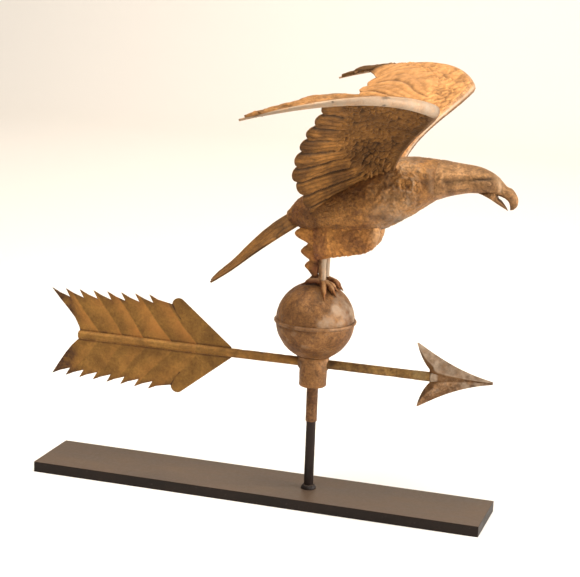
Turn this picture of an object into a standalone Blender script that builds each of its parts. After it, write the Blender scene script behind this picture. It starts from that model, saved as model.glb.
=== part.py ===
"""Eagle weather vane on a steel stand. Metres, +Z up, +X the way the arrow and the eagle point.
The origin is on the underside of the base plate, below the post's axis, which is also the vane's axis."""

import math

import bmesh
import bpy
from mathutils import Matrix, Vector

MM = 0.001
GAP = 0.3 * MM  # clearance between neighbouring pieces

# stand
PLATE_REAR, PLATE_FRONT = -378.5 * MM, 241 * MM
PLATE_WIDTH, PLATE_THICK, PLATE_EDGE = 102 * MM, 14.5 * MM, 0.6 * MM
POST_R, POST_TOP, POST_NOSE = 6.35 * MM, 249 * MM, 5.4 * MM
WELD_R, WELD_H = 9.6 * MM, 3.2 * MM

# bearing sleeve, collar and ball
SLEEVE_R, SLEEVE_BOTTOM, SLEEVE_TOP = 7.55 * MM, 108.5 * MM, 256 * MM
PLUG_H, PLUG_CUP_R, PLUG_CUP_H = 6.5 * MM, 5.2 * MM, 2.4 * MM
COLLAR_R, COLLAR_BOTTOM, COLLAR_FLARE_R = 18.6 * MM, 156.5 * MM, 23.0 * MM
BALL_R, BALL_Z, BALL_WALL = 51.4 * MM, 245.0 * MM, 1.2 * MM
BEAD_OUT, BEAD_HALF = 2.8 * MM, 2.9 * MM

# arrow
SHAFT_Z, SHAFT_R, SHAFT_BORE = 187.8 * MM, 6.35 * MM, 5.2 * MM
SOCKET_X, SHAFT_TAIL, SHAFT_NOSE = 10.0 * MM, -335.5 * MM, 157.0 * MM
FLETCH_THICK, TOOTH_COUNT = 1.6 * MM, 8
TOOTH_FIRST, TOOTH_PITCH, TOOTH_DEPTH = -376 * MM, 20.4 * MM, 10.5 * MM
TOOTH_TIP_H, TOOTH_RISE, TOOTH_LEAN, BLADE_RAISE = 60.6 * MM, 0.75 * MM, 6.4 * MM, 1.0 * MM
LOBE_X, LOBE_H, LOBE_R, FLETCH_FRONT = -190.5 * MM, 65.5 * MM, 9.5 * MM, -114 * MM
HEAD_TIP, BARB_X, BARB_H, HEAD_ROOT = 238.4 * MM, 139.8 * MM, 42.0 * MM, 157.3 * MM
HEAD_Z, BARB_LEAN = SHAFT_Z + 1.0 * MM, 1.6 * MM

# eagle: how it stands on the ball
EAGLE_YAW, EAGLE_ROLL = math.radians(2.5), math.radians(1.2)
SHELL = 1.4 * MM
WING_THICK, EDGE_ROOT_R, EDGE_WRIST_R, EDGE_TIP_R = 1.6 * MM, 3.2 * MM, 8.0 * MM, 1.3 * MM
LEG_X, LEG_Y, LEG_R = 9.3 * MM, 9.0 * MM, 5.0 * MM
THIGH_Y = 15.5 * MM

COPPER = (0.50, 0.26, 0.10)
PAINT = (0.018, 0.016, 0.015)


def clear_scene():
    for item in list(bpy.data.objects):
        bpy.data.objects.remove(item, do_unlink=True)


def new_collection(name):
    group = bpy.data.collections.new(name)
    bpy.context.scene.collection.children.link(group)
    return group


def finish(name, bm, colour, roughness, metallic, smooth=True, group=None):
    """Turn a bmesh into a named object with its own material."""
    bmesh.ops.recalc_face_normals(bm, faces=bm.faces)
    mesh = bpy.data.meshes.new(name)
    for face in bm.faces:
        face.smooth = smooth
    bm.to_mesh(mesh)
    bm.free()
    item = bpy.data.objects.new(name, mesh)
    (group or PARTS).objects.link(item)
    material = bpy.data.materials.new(name)
    material.use_nodes = True
    shader = material.node_tree.nodes["Principled BSDF"]
    shader.inputs["Base Color"].default_value = (*colour, 1)
    shader.inputs["Roughness"].default_value = roughness
    shader.inputs["Metallic"].default_value = metallic
    mesh.materials.append(material)
    return item


def cutter(name, bm):
    item = finish(name, bm, PAINT, 0.5, 0.0, group=CUTTERS)
    item.hide_render = True
    item.display_type = "WIRE"
    return item


def boolean(item, other, operation="DIFFERENCE"):
    step = item.modifiers.new(other.name, "BOOLEAN")
    step.operation = operation
    step.solver = "EXACT"
    step.object = other


def grid_faces(bm, rows, wrap):
    """Quads between successive rows of vertices; wrap joins each row's last vertex to its first."""
    for a, b in zip(rows, rows[1:]):
        count = len(a)
        for i in range(count if wrap else count - 1):
            j = (i + 1) % count
            bm.faces.new((a[i], a[j], b[j], b[i]))


def lathe(profile, segments=40, closed=True):
    """Solid of revolution about Z from (radius, height) points; an open profile has its ends on the axis."""
    bm = bmesh.new()
    inner = profile if closed else profile[1:-1]
    rows = []
    for k in range(segments):
        c, s = math.cos(math.tau * k / segments), math.sin(math.tau * k / segments)
        rows.append([bm.verts.new((r * c, r * s, z)) for r, z in inner])
    rows.append(rows[0])
    grid_faces(bm, rows, closed)
    if not closed:
        for end, column in ((profile[0], 0), (profile[-1], -1)):
            pole = bm.verts.new((0, 0, end[1]))
            for a, b in zip(rows, rows[1:]):
                bm.faces.new((a[column], b[column], pole))
    return bm


def loft(rings):
    """Closed solid through rings of points, with flat or pointed ends."""
    bm = bmesh.new()
    rows = [[bm.verts.new(p) for p in ring] for ring in rings]
    grid_faces(bm, rows, True)
    for row in (rows[0], rows[-1]):
        centre = bm.verts.new(sum((v.co for v in row), Vector()) / len(row))
        for i, v in enumerate(row):
            bm.faces.new((v, row[(i + 1) % len(row)], centre))
    return bm


def skin(outer, inner):
    """Closed sheet between two grids of points of the same size."""
    bm = bmesh.new()
    a = [[bm.verts.new(p) for p in row] for row in outer]
    b = [[bm.verts.new(p) for p in row] for row in inner]
    grid_faces(bm, a, False)
    grid_faces(bm, [row[::-1] for row in b], False)
    rim = lambda g: g[0][:-1] + [row[-1] for row in g[:-1]] + g[-1][:0:-1] + [row[0] for row in g[:0:-1]]
    grid_faces(bm, [rim(a), rim(b)], True)
    return bm


def plate(outline, y_low, y_high):
    """Flat sheet in the XZ plane from y_low to y_high."""
    bm = bmesh.new()
    low = [bm.verts.new((x, y_low, z)) for x, z in outline]
    high = [bm.verts.new((x, y_high, z)) for x, z in outline]
    bm.faces.new(low)
    bm.faces.new(high[::-1])
    grid_faces(bm, [low, high], True)
    return bm


def tube(points, radii, sides=12):
    """Solid rod with round ends that follows points, with a radius at each."""
    points = [Vector(p) for p in points]
    rings, normal = [], None
    for i, p in enumerate(points):
        along = (points[min(i + 1, len(points) - 1)] - points[max(i - 1, 0)]).normalized()
        normal = along.orthogonal() if normal is None else normal - along * normal.dot(along)
        normal.normalize()
        side = along.cross(normal)
        turn = [math.tau * k / sides for k in range(sides)]
        rings.append([p + radii[i] * (math.cos(t) * normal + math.sin(t) * side) for t in turn])
    return loft(rings)


def cylinder_x(x0, x1, radius, y, z, bore=0.0, segments=28):
    """Rod or tube along X."""
    if bore:
        bm = lathe([(radius, x0), (radius, x1), (bore, x1), (bore, x0)], segments)
    else:
        bm = lathe([(0, x0), (radius, x0), (radius, x1), (0, x1)], segments, closed=False)
    turn = Matrix.Translation((0, y, z)) @ Matrix.Rotation(math.pi / 2, 4, "Y")
    bmesh.ops.transform(bm, matrix=turn, verts=bm.verts)
    return bm


def arc(cx, cz, radius, start, end, steps):
    """Points of a circular arc, angles in degrees."""
    turn = [math.radians(start + (end - start) * i / steps) for i in range(steps + 1)]
    return [(cx + radius * math.cos(t), cz + radius * math.sin(t)) for t in turn]


def bezier(points, t):
    a, b, c, d = (Vector(p) for p in points)
    s = 1 - t
    return s**3 * a + 3 * s * s * t * b + 3 * s * t * t * c + t**3 * d


def spline(points, t):
    """Smooth curve through points; t runs from 0 to 1 over the whole length."""
    points = [Vector(p) for p in points]
    place = min(t, 1) * (len(points) - 1)
    i = min(int(place), len(points) - 2)
    f = place - i
    p1, p2 = points[i], points[i + 1]
    p0 = points[i - 1] if i else 2 * p1 - p2
    p3 = points[i + 2] if i + 2 < len(points) else 2 * p2 - p1
    return 0.5 * (2 * p1 + (p2 - p0) * f + (2 * p0 - 5 * p1 + 4 * p2 - p3) * f * f
                  + (3 * p1 - p0 - 3 * p2 + p3) * f**3)


# ---------------------------------------------------------------- stand and bearing

def build_stand():
    bm = bmesh.new()
    bmesh.ops.create_cube(bm, size=1)
    size = Vector((PLATE_FRONT - PLATE_REAR, PLATE_WIDTH, PLATE_THICK))
    centre = Vector(((PLATE_FRONT + PLATE_REAR) / 2, 0, PLATE_THICK / 2))
    for v in bm.verts:
        v.co = centre + v.co * size
    item = finish("base_plate", bm, PAINT, 0.42, 0.0, smooth=False)
    edge = item.modifiers.new("edge", "BEVEL")
    edge.width, edge.segments = PLATE_EDGE, 2

    nose = [(POST_R * math.cos(t), POST_TOP - POST_NOSE * (1 - math.sin(t)))
            for t in (math.radians(a) for a in range(0, 90, 22))]
    profile = [(0, PLATE_THICK + GAP), (POST_R, PLATE_THICK + GAP)] + nose + [(0, POST_TOP)]
    finish("post", lathe(profile, closed=False), PAINT, 0.4, 0.0)

    inner, foot = POST_R + GAP, PLATE_THICK + GAP
    fillet = [(inner + (WELD_R - inner) * (1 - math.sin(t)), foot + WELD_H * (1 - math.cos(t)))
              for t in (math.radians(a) for a in range(0, 91, 30))]
    finish("post_weld", lathe([(inner, foot)] + fillet), PAINT, 0.45, 0.0)


def build_bearing():
    bore = POST_R + GAP
    wall = [(bore, SLEEVE_BOTTOM), (SLEEVE_R, SLEEVE_BOTTOM), (SLEEVE_R, SLEEVE_TOP), (bore, SLEEVE_TOP)]
    finish("spindle_sleeve", lathe(wall), (0.20, 0.10, 0.06), 0.45, 0.6)
    # a plug in the sleeve's top turns on the post's rounded nose
    low = POST_TOP - PLUG_CUP_H + GAP
    cup = [(PLUG_CUP_R * math.sin(t), low + PLUG_CUP_H * math.cos(t))
           for t in (math.radians(a) for a in range(30, 91, 20))]
    rim = bore - GAP
    profile = [(0, low + PLUG_CUP_H)] + cup + [(rim, low), (rim, low + PLUG_H), (0, low + PLUG_H)]
    finish("pivot_plug", lathe(profile, closed=False), (0.62, 0.44, 0.20), 0.35, 1.0)


# ---------------------------------------------------------------- ball

def sphere_z(radius, r):
    return BALL_Z - math.sqrt(radius * radius - r * r)


def build_ball():
    outer, inner = BALL_R, BALL_R - BALL_WALL
    hole = SLEEVE_R + GAP
    start = math.asin(hole / outer)

    def bowl(radius, first, count):
        last = math.pi / 2
        turn = [first + (last - first) * i / count for i in range(count + 1)]
        return [(radius * math.sin(t), radius * math.cos(t)) for t in turn]

    lower = bowl(outer, start, 8) + bowl(inner, start, 8)[::-1]
    finish("ball_lower", lathe([(r, BALL_Z - GAP / 2 - h) for r, h in lower]), COPPER, 0.5, 0.8)
    crown = math.radians(10)
    upper = [(0, outer)] + bowl(outer, crown, 8) + bowl(inner, crown, 8)[::-1] + [(0, inner)]
    upper = [(r, BALL_Z + GAP / 2 + h) for r, h in upper]
    finish("ball_upper", lathe(upper, closed=False), COPPER, 0.5, 0.8)

    bead = [(outer + GAP + BEAD_OUT * math.sin(t), BALL_Z + BEAD_HALF * math.cos(t))
            for t in (math.radians(a) for a in range(0, 181, 30))]
    finish("ball_bead", lathe(bead), COPPER, 0.5, 0.8)


def build_collar():
    hole, seat = SLEEVE_R + GAP, BALL_R + GAP
    top = [(r, sphere_z(seat, r) - GAP / 2) for r in
           (COLLAR_FLARE_R - i * (COLLAR_FLARE_R - hole) / 4 for i in range(5))]
    flare = [(COLLAR_R + (COLLAR_FLARE_R - COLLAR_R) * (1 - math.cos(t)),
              top[0][1] - 5 * MM * (1 - math.sin(t)) - MM)
             for t in (math.radians(a) for a in range(0, 91, 30))]
    low = COLLAR_BOTTOM
    outside = [(hole, low), (COLLAR_R - 2.5 * MM, low), (COLLAR_R - 0.7 * MM, low + 0.8 * MM),
               (COLLAR_R, low + 2.5 * MM)]
    item = finish("collar", lathe(outside + flare + top), COPPER, 0.5, 0.8)
    for name, side in (("socket_front", 1), ("socket_rear", -1)):
        span = sorted((side * (SOCKET_X - GAP), side * 30 * MM))
        boolean(item, cutter(name, cylinder_x(*span, SHAFT_R + GAP, 0, SHAFT_Z)))


# ---------------------------------------------------------------- arrow

def fletch_outline(side):
    """Upper (side 1) or lower (side -1) blade: toothed edge, round front lobe, straight run to the shaft."""
    points = []
    for k in range(TOOTH_COUNT):
        tip_x = TOOTH_FIRST + k * TOOTH_PITCH
        tip_h = TOOTH_TIP_H + k * TOOTH_RISE + side * BLADE_RAISE
        points += [(tip_x, tip_h), (tip_x + TOOTH_PITCH + TOOTH_LEAN, tip_h - TOOTH_DEPTH)]
    points.pop()
    points += arc(LOBE_X, LOBE_H + side * BLADE_RAISE - LOBE_R, LOBE_R, 180, 45, 8)
    foot = SHAFT_R + GAP
    points += [(FLETCH_FRONT, foot), (SHAFT_TAIL + side * 1.2 * MM, foot)]
    if side > 0:
        points += [(-341.8 * MM, 23.5 * MM)]
    else:
        points += [(-346.3 * MM, 15.8 * MM), (-355.3 * MM, 27.4 * MM)]
    return [(x, SHAFT_Z + side * h) for x, h in points]


def build_arrow():
    for name, x0, x1 in (("arrow_shaft_front", SOCKET_X, SHAFT_NOSE),
                         ("arrow_shaft_rear", SHAFT_TAIL, -SOCKET_X)):
        finish(name, cylinder_x(x0, x1, SHAFT_R, 0, SHAFT_Z, SHAFT_BORE), COPPER, 0.5, 0.8)
    for name, side in (("fletch_upper", 1), ("fletch_lower", -1)):
        blade = plate(fletch_outline(side), -FLETCH_THICK / 2, FLETCH_THICK / 2)
        finish(name, blade, (0.24, 0.15, 0.05), 0.55, 0.7, smooth=False)
    build_arrow_head()


def build_arrow_head():
    """Swallow-tailed cast head: two barbs with a ridge along each, and a boss where the shaft enters."""
    stations, across = 16, 5
    core = HEAD_ROOT + 2 * MM
    upper = []
    for i in range(stations + 1):
        t = i / stations
        out = bezier([(BARB_X, 0, BARB_H), (0.162, 0, 0.0290), (0.191, 0, 0.0106), (HEAD_TIP, 0, 0.0020)],
                     t)
        if t < 0.5:
            inner = bezier([(BARB_X - 0.3 * MM, 0, BARB_H - 2.4 * MM), (0.1425, 0, 0.0285),
                            (0.1485, 0, 0.015), (HEAD_ROOT, 0, 0.007)], t * 16 / 7)
        else:
            inner = Vector((core + (HEAD_TIP - core) * (2 * t - 1), 0, 0))
        crest = 1 * MM + 4.2 * MM * math.sin(math.pi * min(1, 0.08 + t * 1.05)) ** 0.8
        upper.append((out, inner, crest, t > 0.5))
    bm = bmesh.new()
    for side in (1, -1):
        for face in (1, -1):
            rows = []
            for out, inner, crest, joined in upper:
                row = []
                for j in range(across + 1):
                    v = j / across
                    p = out.lerp(inner, v)
                    thick = crest * math.sin(math.pi * v ** 1.5) ** 0.6 if 0 < j < across else 0.0
                    if j == across and joined:
                        thick = 0.5 * crest
                    lean = BARB_LEAN * p.z / BARB_H
                    row.append(bm.verts.new((p.x - side * lean, face * thick, HEAD_Z + side * p.z)))
                rows.append(row)
            grid_faces(bm, rows, False)
            if face == 1:
                front = rows
            else:
                for a, b in ((front[0], rows[0]), (front[-1], rows[-1])):
                    grid_faces(bm, [a, b], False)
    bmesh.ops.remove_doubles(bm, verts=bm.verts, dist=1e-6)
    bmesh.ops.dissolve_degenerate(bm, dist=1e-6, edges=bm.edges)
    head = finish("arrow_head", bm, (0.42, 0.30, 0.22), 0.5, 0.7)
    boss = lathe([(0, HEAD_ROOT), (6.4 * MM, HEAD_ROOT), (5.6 * MM, HEAD_ROOT + 10 * MM),
                  (2.4 * MM, HEAD_ROOT + 28 * MM), (0, HEAD_ROOT + 30 * MM)], 24, closed=False)
    turn = Matrix.Translation((0, 0, SHAFT_Z)) @ Matrix.Rotation(math.pi / 2, 4, "Y")
    bmesh.ops.transform(boss, matrix=turn, verts=boss.verts)
    boolean(head, cutter("head_boss", boss), "UNION")


# ---------------------------------------------------------------- eagle

def pose_eagle(bm):
    """Turn a piece about the ball's centre to the way the eagle stands."""
    turn = Matrix.Rotation(EAGLE_YAW, 4, "Z") @ Matrix.Rotation(EAGLE_ROLL, 4, "X")
    centre = Matrix.Translation((0, 0, BALL_Z))
    bmesh.ops.transform(bm, matrix=centre @ turn @ centre.inverted(), verts=bm.verts)
    return bm


def oval(top, bottom, half, grow=0.0, count=24, y=0.0):
    """Ring between a top and a bottom point (x, z), with a half width."""
    t, b = Vector((top[0], y, top[1])), Vector((bottom[0], y, bottom[1]))
    centre, arm = (t + b) / 2, (t - b) / 2
    arm = arm * (1 + grow / arm.length)
    turn = [math.tau * k / count for k in range(count)]
    return [centre + math.cos(a) * arm + Vector((0, (half + grow) * math.sin(a), 0)) for a in turn]


# body: upper and lower outline (x, z) and half width, from rump to neck
BODY = [((-0.042, 0.387), (-0.036, 0.372), 0.010), ((-0.026, 0.406), (-0.018, 0.366), 0.023),
        ((0.002, 0.423), (0.008, 0.364), 0.034), ((0.034, 0.440), (0.036, 0.364), 0.041),
        ((0.066, 0.455), (0.066, 0.367), 0.043), ((0.096, 0.466), (0.098, 0.381), 0.040),
        ((0.124, 0.470), (0.126, 0.399), 0.034), ((0.152, 0.469), (0.150, 0.415), 0.0265)]
HEAD = [((0.157, 0.4685), (0.155, 0.4180), 0.0250), ((0.170, 0.4668), (0.168, 0.4230), 0.0215),
        ((0.183, 0.4655), (0.181, 0.4265), 0.0190), ((0.196, 0.4643), (0.193, 0.4290), 0.0178),
        ((0.207, 0.4622), (0.2035, 0.4296), 0.0176), ((0.217, 0.4582), (0.212, 0.4292), 0.0168),
        ((0.2254, 0.4535), (0.2215, 0.4290), 0.0140), ((0.2325, 0.4472), (0.2282, 0.4284), 0.0108),
        ((0.2385, 0.4412), (0.2330, 0.4271), 0.0092), ((0.2450, 0.4386), (0.2375, 0.4250), 0.0084),
        ((0.2502, 0.4328), (0.2412, 0.4218), 0.0070), ((0.2535, 0.4255), (0.2428, 0.4180), 0.0056),
        ((0.2528, 0.4172), (0.2434, 0.4145), 0.0040), ((0.2485, 0.4127), (0.2438, 0.4116), 0.0020)]
JAW = [((0.2085, 0.4287), (0.2080, 0.4281), 0.0060), ((0.2145, 0.4286), (0.2130, 0.4270), 0.0110),
       ((0.2215, 0.4284), (0.2195, 0.4233), 0.0110), ((0.2275, 0.4268), (0.2255, 0.4193), 0.0088),
       ((0.2335, 0.4228), (0.2310, 0.4159), 0.0064), ((0.2385, 0.4165), (0.2368, 0.4127), 0.0038),
       ((0.2412, 0.4112), (0.2409, 0.4106), 0.0010)]
THIGH = [((0.083, 0.384), (0.083, 0.365), 0.006), ((0.078, 0.390), (0.0778, 0.3525), 0.0105),
         ((0.065, 0.394), (0.0645, 0.3432), 0.0125), ((0.050, 0.396), (0.0495, 0.3398), 0.013),
         ((0.034, 0.395), (0.0335, 0.3365), 0.013), ((0.018, 0.391), (0.0175, 0.3330), 0.0125),
         ((0.006, 0.385), (0.005, 0.3300), 0.0105), ((-0.002, 0.378), (0.000, 0.336), 0.006)]


def body_section(place, grow):
    """Outline pair and half width part way along the body, 0 at the rump and 1 at the neck."""
    flat = spline([(*top, 0) for top, _, _ in BODY], place)
    low = spline([(*bottom, 0) for _, bottom, _ in BODY], place)
    half = spline([(h, 0, 0) for _, _, h in BODY], place).x
    return oval((flat.x, flat.y), (low.x, low.y), half, grow, 28)


def build_body():
    stations = 14
    for name, side in (("body_left", 1), ("body_right", -1)):
        grids = []
        for grow in (0.0, -SHELL):
            rings = [body_section(i / stations, grow)[:15] for i in range(stations + 1)]
            grids.append([[Vector((p.x, side * (abs(p.y) + GAP / 2), p.z)) for p in ring] for ring in rings])
        finish(name, pose_eagle(skin(*grids)), COPPER, 0.5, 0.8)
    return cutter("body_clearance",
                  pose_eagle(loft([body_section(i / stations, 2 * GAP) for i in range(stations + 1)])))


def build_head():
    finish("head", pose_eagle(loft([oval(*section) for section in HEAD])), COPPER, 0.5, 0.8)
    jaw = loft([oval(*section, count=16) for section in JAW])
    finish("lower_beak", pose_eagle(jaw), COPPER, 0.5, 0.8)


# left wing: leading edge from shoulder to wrist to tip, then the feather tips from the root outwards
SHOULDER, WRIST, WING_TIP = (0.099, 0.022, 0.452), (0.171, 0.129, 0.547), (-0.041, 0.240, 0.5355)
ARM = [SHOULDER, (0.113, 0.050, 0.500), (0.157, 0.083, 0.524), WRIST]
HAND = [WRIST, (0.142, 0.214, 0.5735), (0.070, 0.248, 0.570), WING_TIP]
INNER_TIPS = [(-0.004, 0.030, 0.394), (-0.009, 0.045, 0.407), (-0.014, 0.0625, 0.428),
              (-0.0165, 0.080, 0.447), (-0.009, 0.0975, 0.471), (0.002, 0.115, 0.492), (0.014, 0.1325, 0.511)]
LEFT_TIPS = INNER_TIPS + [(0.012, 0.151, 0.5245), (0.008, 0.169, 0.529), (0.016, 0.186, 0.538),
                          (0.019, 0.207, 0.5475), (-0.010, 0.224, 0.5505), WING_TIP]
RIGHT_TIPS = INNER_TIPS + [(0.029, 0.151, 0.530), (0.040, 0.169, 0.546), (0.040, 0.186, 0.557),
                           (0.024, 0.206, 0.5585), (0.006, 0.223, 0.5505), WING_TIP]
LEFT_WING_DROP = math.radians(1.1)
ARM_SHARE = 0.58


def leading_edge(u):
    if u < ARM_SHARE:
        return bezier(ARM, u / ARM_SHARE)
    return bezier(HAND, (u - ARM_SHARE) / (1 - ARM_SHARE))


def edge_radius(u):
    if u < ARM_SHARE:
        return EDGE_ROOT_R + (EDGE_WRIST_R - EDGE_ROOT_R) * (u / ARM_SHARE) ** 1.5
    return EDGE_WRIST_R + (EDGE_TIP_R - EDGE_WRIST_R) * ((u - ARM_SHARE) / (1 - ARM_SHARE)) ** 1.2


def edge_centre(tips, u):
    """Centre of the rolled leading edge, set back so its outer side follows the leading edge line."""
    front = leading_edge(u)
    return front + (spline(tips, u) - front).normalized() * edge_radius(u) * 0.85


def wing_point(tips, u, v, notch):
    """Point of the wing's middle surface: u from root to tip, v from leading to trailing edge."""
    front, back = edge_centre(tips, u), spline(tips, u)
    along = back - front
    start = edge_radius(u) * 0.7
    reach = max(along.length - notch * 8 * MM - start, MM)
    point = front + along.normalized() * (start + reach * v)
    bow = 14 * MM * math.sin(math.pi * min(v * 1.05, 1)) * (1 - u) ** 0.4 * min(1, 5 * u)
    return point + Vector((-0.45, -0.45, 0.77)) * bow


def set_wing(p, side):
    """From the square set-up of the left wing to either side; the left wing sits a little lower."""
    y, z = p.y - SHOULDER[1], p.z - SHOULDER[2]
    drop = LEFT_WING_DROP if side > 0 else 0
    return Vector((p.x, side * (SHOULDER[1] + y * math.cos(drop) + z * math.sin(drop)),
                   SHOULDER[2] + z * math.cos(drop) - y * math.sin(drop)))


def build_wing(side, tag, tips, body):
    steps, cells = (len(tips) - 1) * 4, 6
    rows = []
    for i in range(steps):
        u = i / steps * 0.985
        notch = 1 - abs(math.cos(math.pi * i / 4)) ** 0.5
        rows.append([wing_point(tips, u, j / cells, notch) for j in range(cells + 1)])
    grids = []
    for sign in (0.5, -0.5):
        grid = []
        for i, row in enumerate(rows):
            line = []
            for j, p in enumerate(row):
                du = rows[min(i + 1, len(rows) - 1)][j] - rows[max(i - 1, 0)][j]
                dv = row[min(j + 1, cells)] - row[max(j - 1, 0)]
                q = p + du.cross(dv).normalized() * sign * WING_THICK
                line.append(set_wing(q, side))
            grid.append(line)
        grids.append(grid)
    panel = finish("wing_" + tag, pose_eagle(skin(*grids)), COPPER, 0.5, 0.8)
    places = [i / 22 * 0.995 for i in range(23)]
    path = [set_wing(edge_centre(tips, u), side) for u in places]
    roll, room = (tube(path, [edge_radius(u) + grow for u in places], 12) for grow in (0, 1.2 * GAP))
    boolean(finish("wing_edge_" + tag, pose_eagle(roll), (0.45, 0.34, 0.25), 0.5, 0.7), body)
    boolean(panel, body)
    boolean(panel, cutter("wing_edge_clearance_" + tag, pose_eagle(room)))


def build_tail(body):
    """Fan of feathers that slopes down and back from the rump, highest along the middle."""
    ridge = [(-0.030, 0, 0.391), (-0.060, 0, 0.370), (-0.088, 0, 0.343), (-0.112, 0, 0.317),
             (-0.137, 0, 0.294)]
    edge = [(-0.022, 0.009, 0.3755), (-0.048, 0.020, 0.3570), (-0.075, 0.030, 0.3365),
            (-0.105, 0.040, 0.3120), (-0.131, 0.045, 0.2935)]
    feathers, steps, cells = 9, 4, 6
    up = Vector((-0.65, 0, 0.76))
    grids = [[], []]
    for i in range(feathers * steps + 1):
        s = i / (feathers * steps) * 2 - 1
        tip = 1 - 0.05 * (1 - abs(math.sin(math.pi * i / steps)) ** 0.6)
        rows = [[], []]
        for j in range(cells + 1):
            v = j / cells * tip
            middle, outer = spline(ridge, v), spline(edge, v)
            point = middle + (outer - middle) * s * s
            point.y = s * outer.y
            thick = (1.6 + 6.5 * (1 - v) * (1 - 0.8 * s * s)) * MM
            rows[0].append(point)
            rows[1].append(point - up * thick)
        for grid, row in zip(grids, rows):
            grid.append(row)
    boolean(finish("tail", pose_eagle(skin(*grids)), COPPER, 0.5, 0.8), body)


def build_leg(side, tag, body):
    y = side * THIGH_Y
    thigh = finish("thigh_" + tag, pose_eagle(loft([oval(*section, count=20, y=y) for section in THIGH])),
                   COPPER, 0.5, 0.8)
    boolean(thigh, body)

    hock = thigh_cutter(side, tag)
    fringe = [(-0.003, 0.3712), (-0.022, 0.3680), (-0.029, 0.3618), (-0.0255, 0.3560), (-0.0107, 0.3487),
              (-0.020, 0.3378), (-0.008, 0.3272), (-0.014, 0.3190), (-0.004, 0.3100), (-0.0025, 0.3056),
              (0.0034, 0.3056), (0.0036, 0.334), (0.008, 0.350)]
    low, high = sorted((side * 9.0 * MM, side * 11.0 * MM))
    tufts = finish("leg_fringe_" + tag, pose_eagle(plate(fringe, low, high)), COPPER, 0.5, 0.8, smooth=False)
    boolean(tufts, body)
    boolean(tufts, hock)

    foot = Vector((LEG_X, side * LEG_Y, 0.3052))
    knee = Vector((LEG_X + MM, side * 11.5 * MM, 0.3385))
    rod = tube([foot, foot.lerp(knee, 0.5), knee], [LEG_R, LEG_R, LEG_R + 0.4 * MM], 20)
    shank = finish("shank_" + tag, pose_eagle(rod), (0.42, 0.36, 0.30), 0.5, 0.7)
    boolean(shank, hock)
    build_foot(side, tag)


def thigh_cutter(side, tag):
    rings = [oval(*section, grow=2 * GAP, count=20, y=side * THIGH_Y) for section in THIGH]
    return cutter("thigh_clearance_" + tag, pose_eagle(loft(rings)))


def build_foot(side, tag):
    """Four toes with talons gripping the ball, joined at the ankle."""
    ankle = Vector((LEG_X, side * LEG_Y, 0))
    toes = []
    for turn, length in ((-68, 31), (-25, 27), (6, 23), (-176, 27)):
        points, radii = [], []
        for i in range(8):
            t = i / 7
            angle = math.radians(turn * side * -1)
            flat = ankle + Vector((math.cos(angle), math.sin(angle), 0)) * length * MM * t
            r = (3.6 - 2.6 * t ** 2) * MM
            lift = BALL_R + GAP + r + 1.6 * MM * math.sin(math.pi * min(1, t * 1.3)) + 0.4 * MM
            around = flat.length / BALL_R
            direction = flat.normalized() * math.sin(around) + Vector((0, 0, math.cos(around)))
            points.append(Vector((0, 0, BALL_Z)) + direction * lift)
            radii.append(r)
        toes.append(tube(points, radii, 10))
    pad = Vector((LEG_X, side * LEG_Y, 0)).length / BALL_R
    centre = (ankle.normalized() * math.sin(pad) + Vector((0, 0, math.cos(pad)))) * (BALL_R + 4.4 * MM)
    palm = bmesh.new()
    bmesh.ops.create_uvsphere(palm, u_segments=16, v_segments=10, radius=4.0 * MM,
                              matrix=Matrix.Translation(centre + Vector((0, 0, BALL_Z))))
    item = finish("foot_" + tag, pose_eagle(palm), (0.30, 0.17, 0.10), 0.5, 0.7)
    for i, toe in enumerate(toes):
        boolean(item, cutter(f"toe_{tag}_{i + 1}", pose_eagle(toe)), "UNION")


clear_scene()
PARTS = new_collection("eagle_weather_vane")
CUTTERS = new_collection("cutters")
build_stand()
build_bearing()
build_ball()
build_collar()
build_arrow()
BODY_CUT = build_body()
build_head()
build_tail(BODY_CUT)
for SIDE, TAG, TIPS in ((1, "left", LEFT_TIPS), (-1, "right", RIGHT_TIPS)):
    build_wing(SIDE, TAG, TIPS, BODY_CUT)
    build_leg(SIDE, TAG, BODY_CUT)
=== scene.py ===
import math

import bpy
import numpy as np
from mathutils import Matrix, Vector


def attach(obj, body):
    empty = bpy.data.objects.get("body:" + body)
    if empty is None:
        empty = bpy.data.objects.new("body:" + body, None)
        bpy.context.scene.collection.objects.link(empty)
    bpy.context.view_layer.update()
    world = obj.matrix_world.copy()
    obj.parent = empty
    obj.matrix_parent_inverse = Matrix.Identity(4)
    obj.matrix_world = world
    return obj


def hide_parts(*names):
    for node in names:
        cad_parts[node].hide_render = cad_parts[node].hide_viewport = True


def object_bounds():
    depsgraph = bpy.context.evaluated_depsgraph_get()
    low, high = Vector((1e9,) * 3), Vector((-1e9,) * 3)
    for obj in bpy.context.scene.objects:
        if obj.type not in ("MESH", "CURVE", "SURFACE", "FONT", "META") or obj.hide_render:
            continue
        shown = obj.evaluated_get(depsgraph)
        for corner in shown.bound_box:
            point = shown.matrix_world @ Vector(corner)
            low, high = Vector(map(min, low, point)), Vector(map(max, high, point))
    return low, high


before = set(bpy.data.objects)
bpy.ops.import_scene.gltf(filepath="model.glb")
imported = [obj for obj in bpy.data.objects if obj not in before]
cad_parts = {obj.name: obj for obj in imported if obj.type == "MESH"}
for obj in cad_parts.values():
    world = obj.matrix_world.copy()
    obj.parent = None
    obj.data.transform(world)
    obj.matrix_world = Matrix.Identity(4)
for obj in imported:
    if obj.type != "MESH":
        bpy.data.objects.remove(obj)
CAD_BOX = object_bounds()
MM = 0.001

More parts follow.
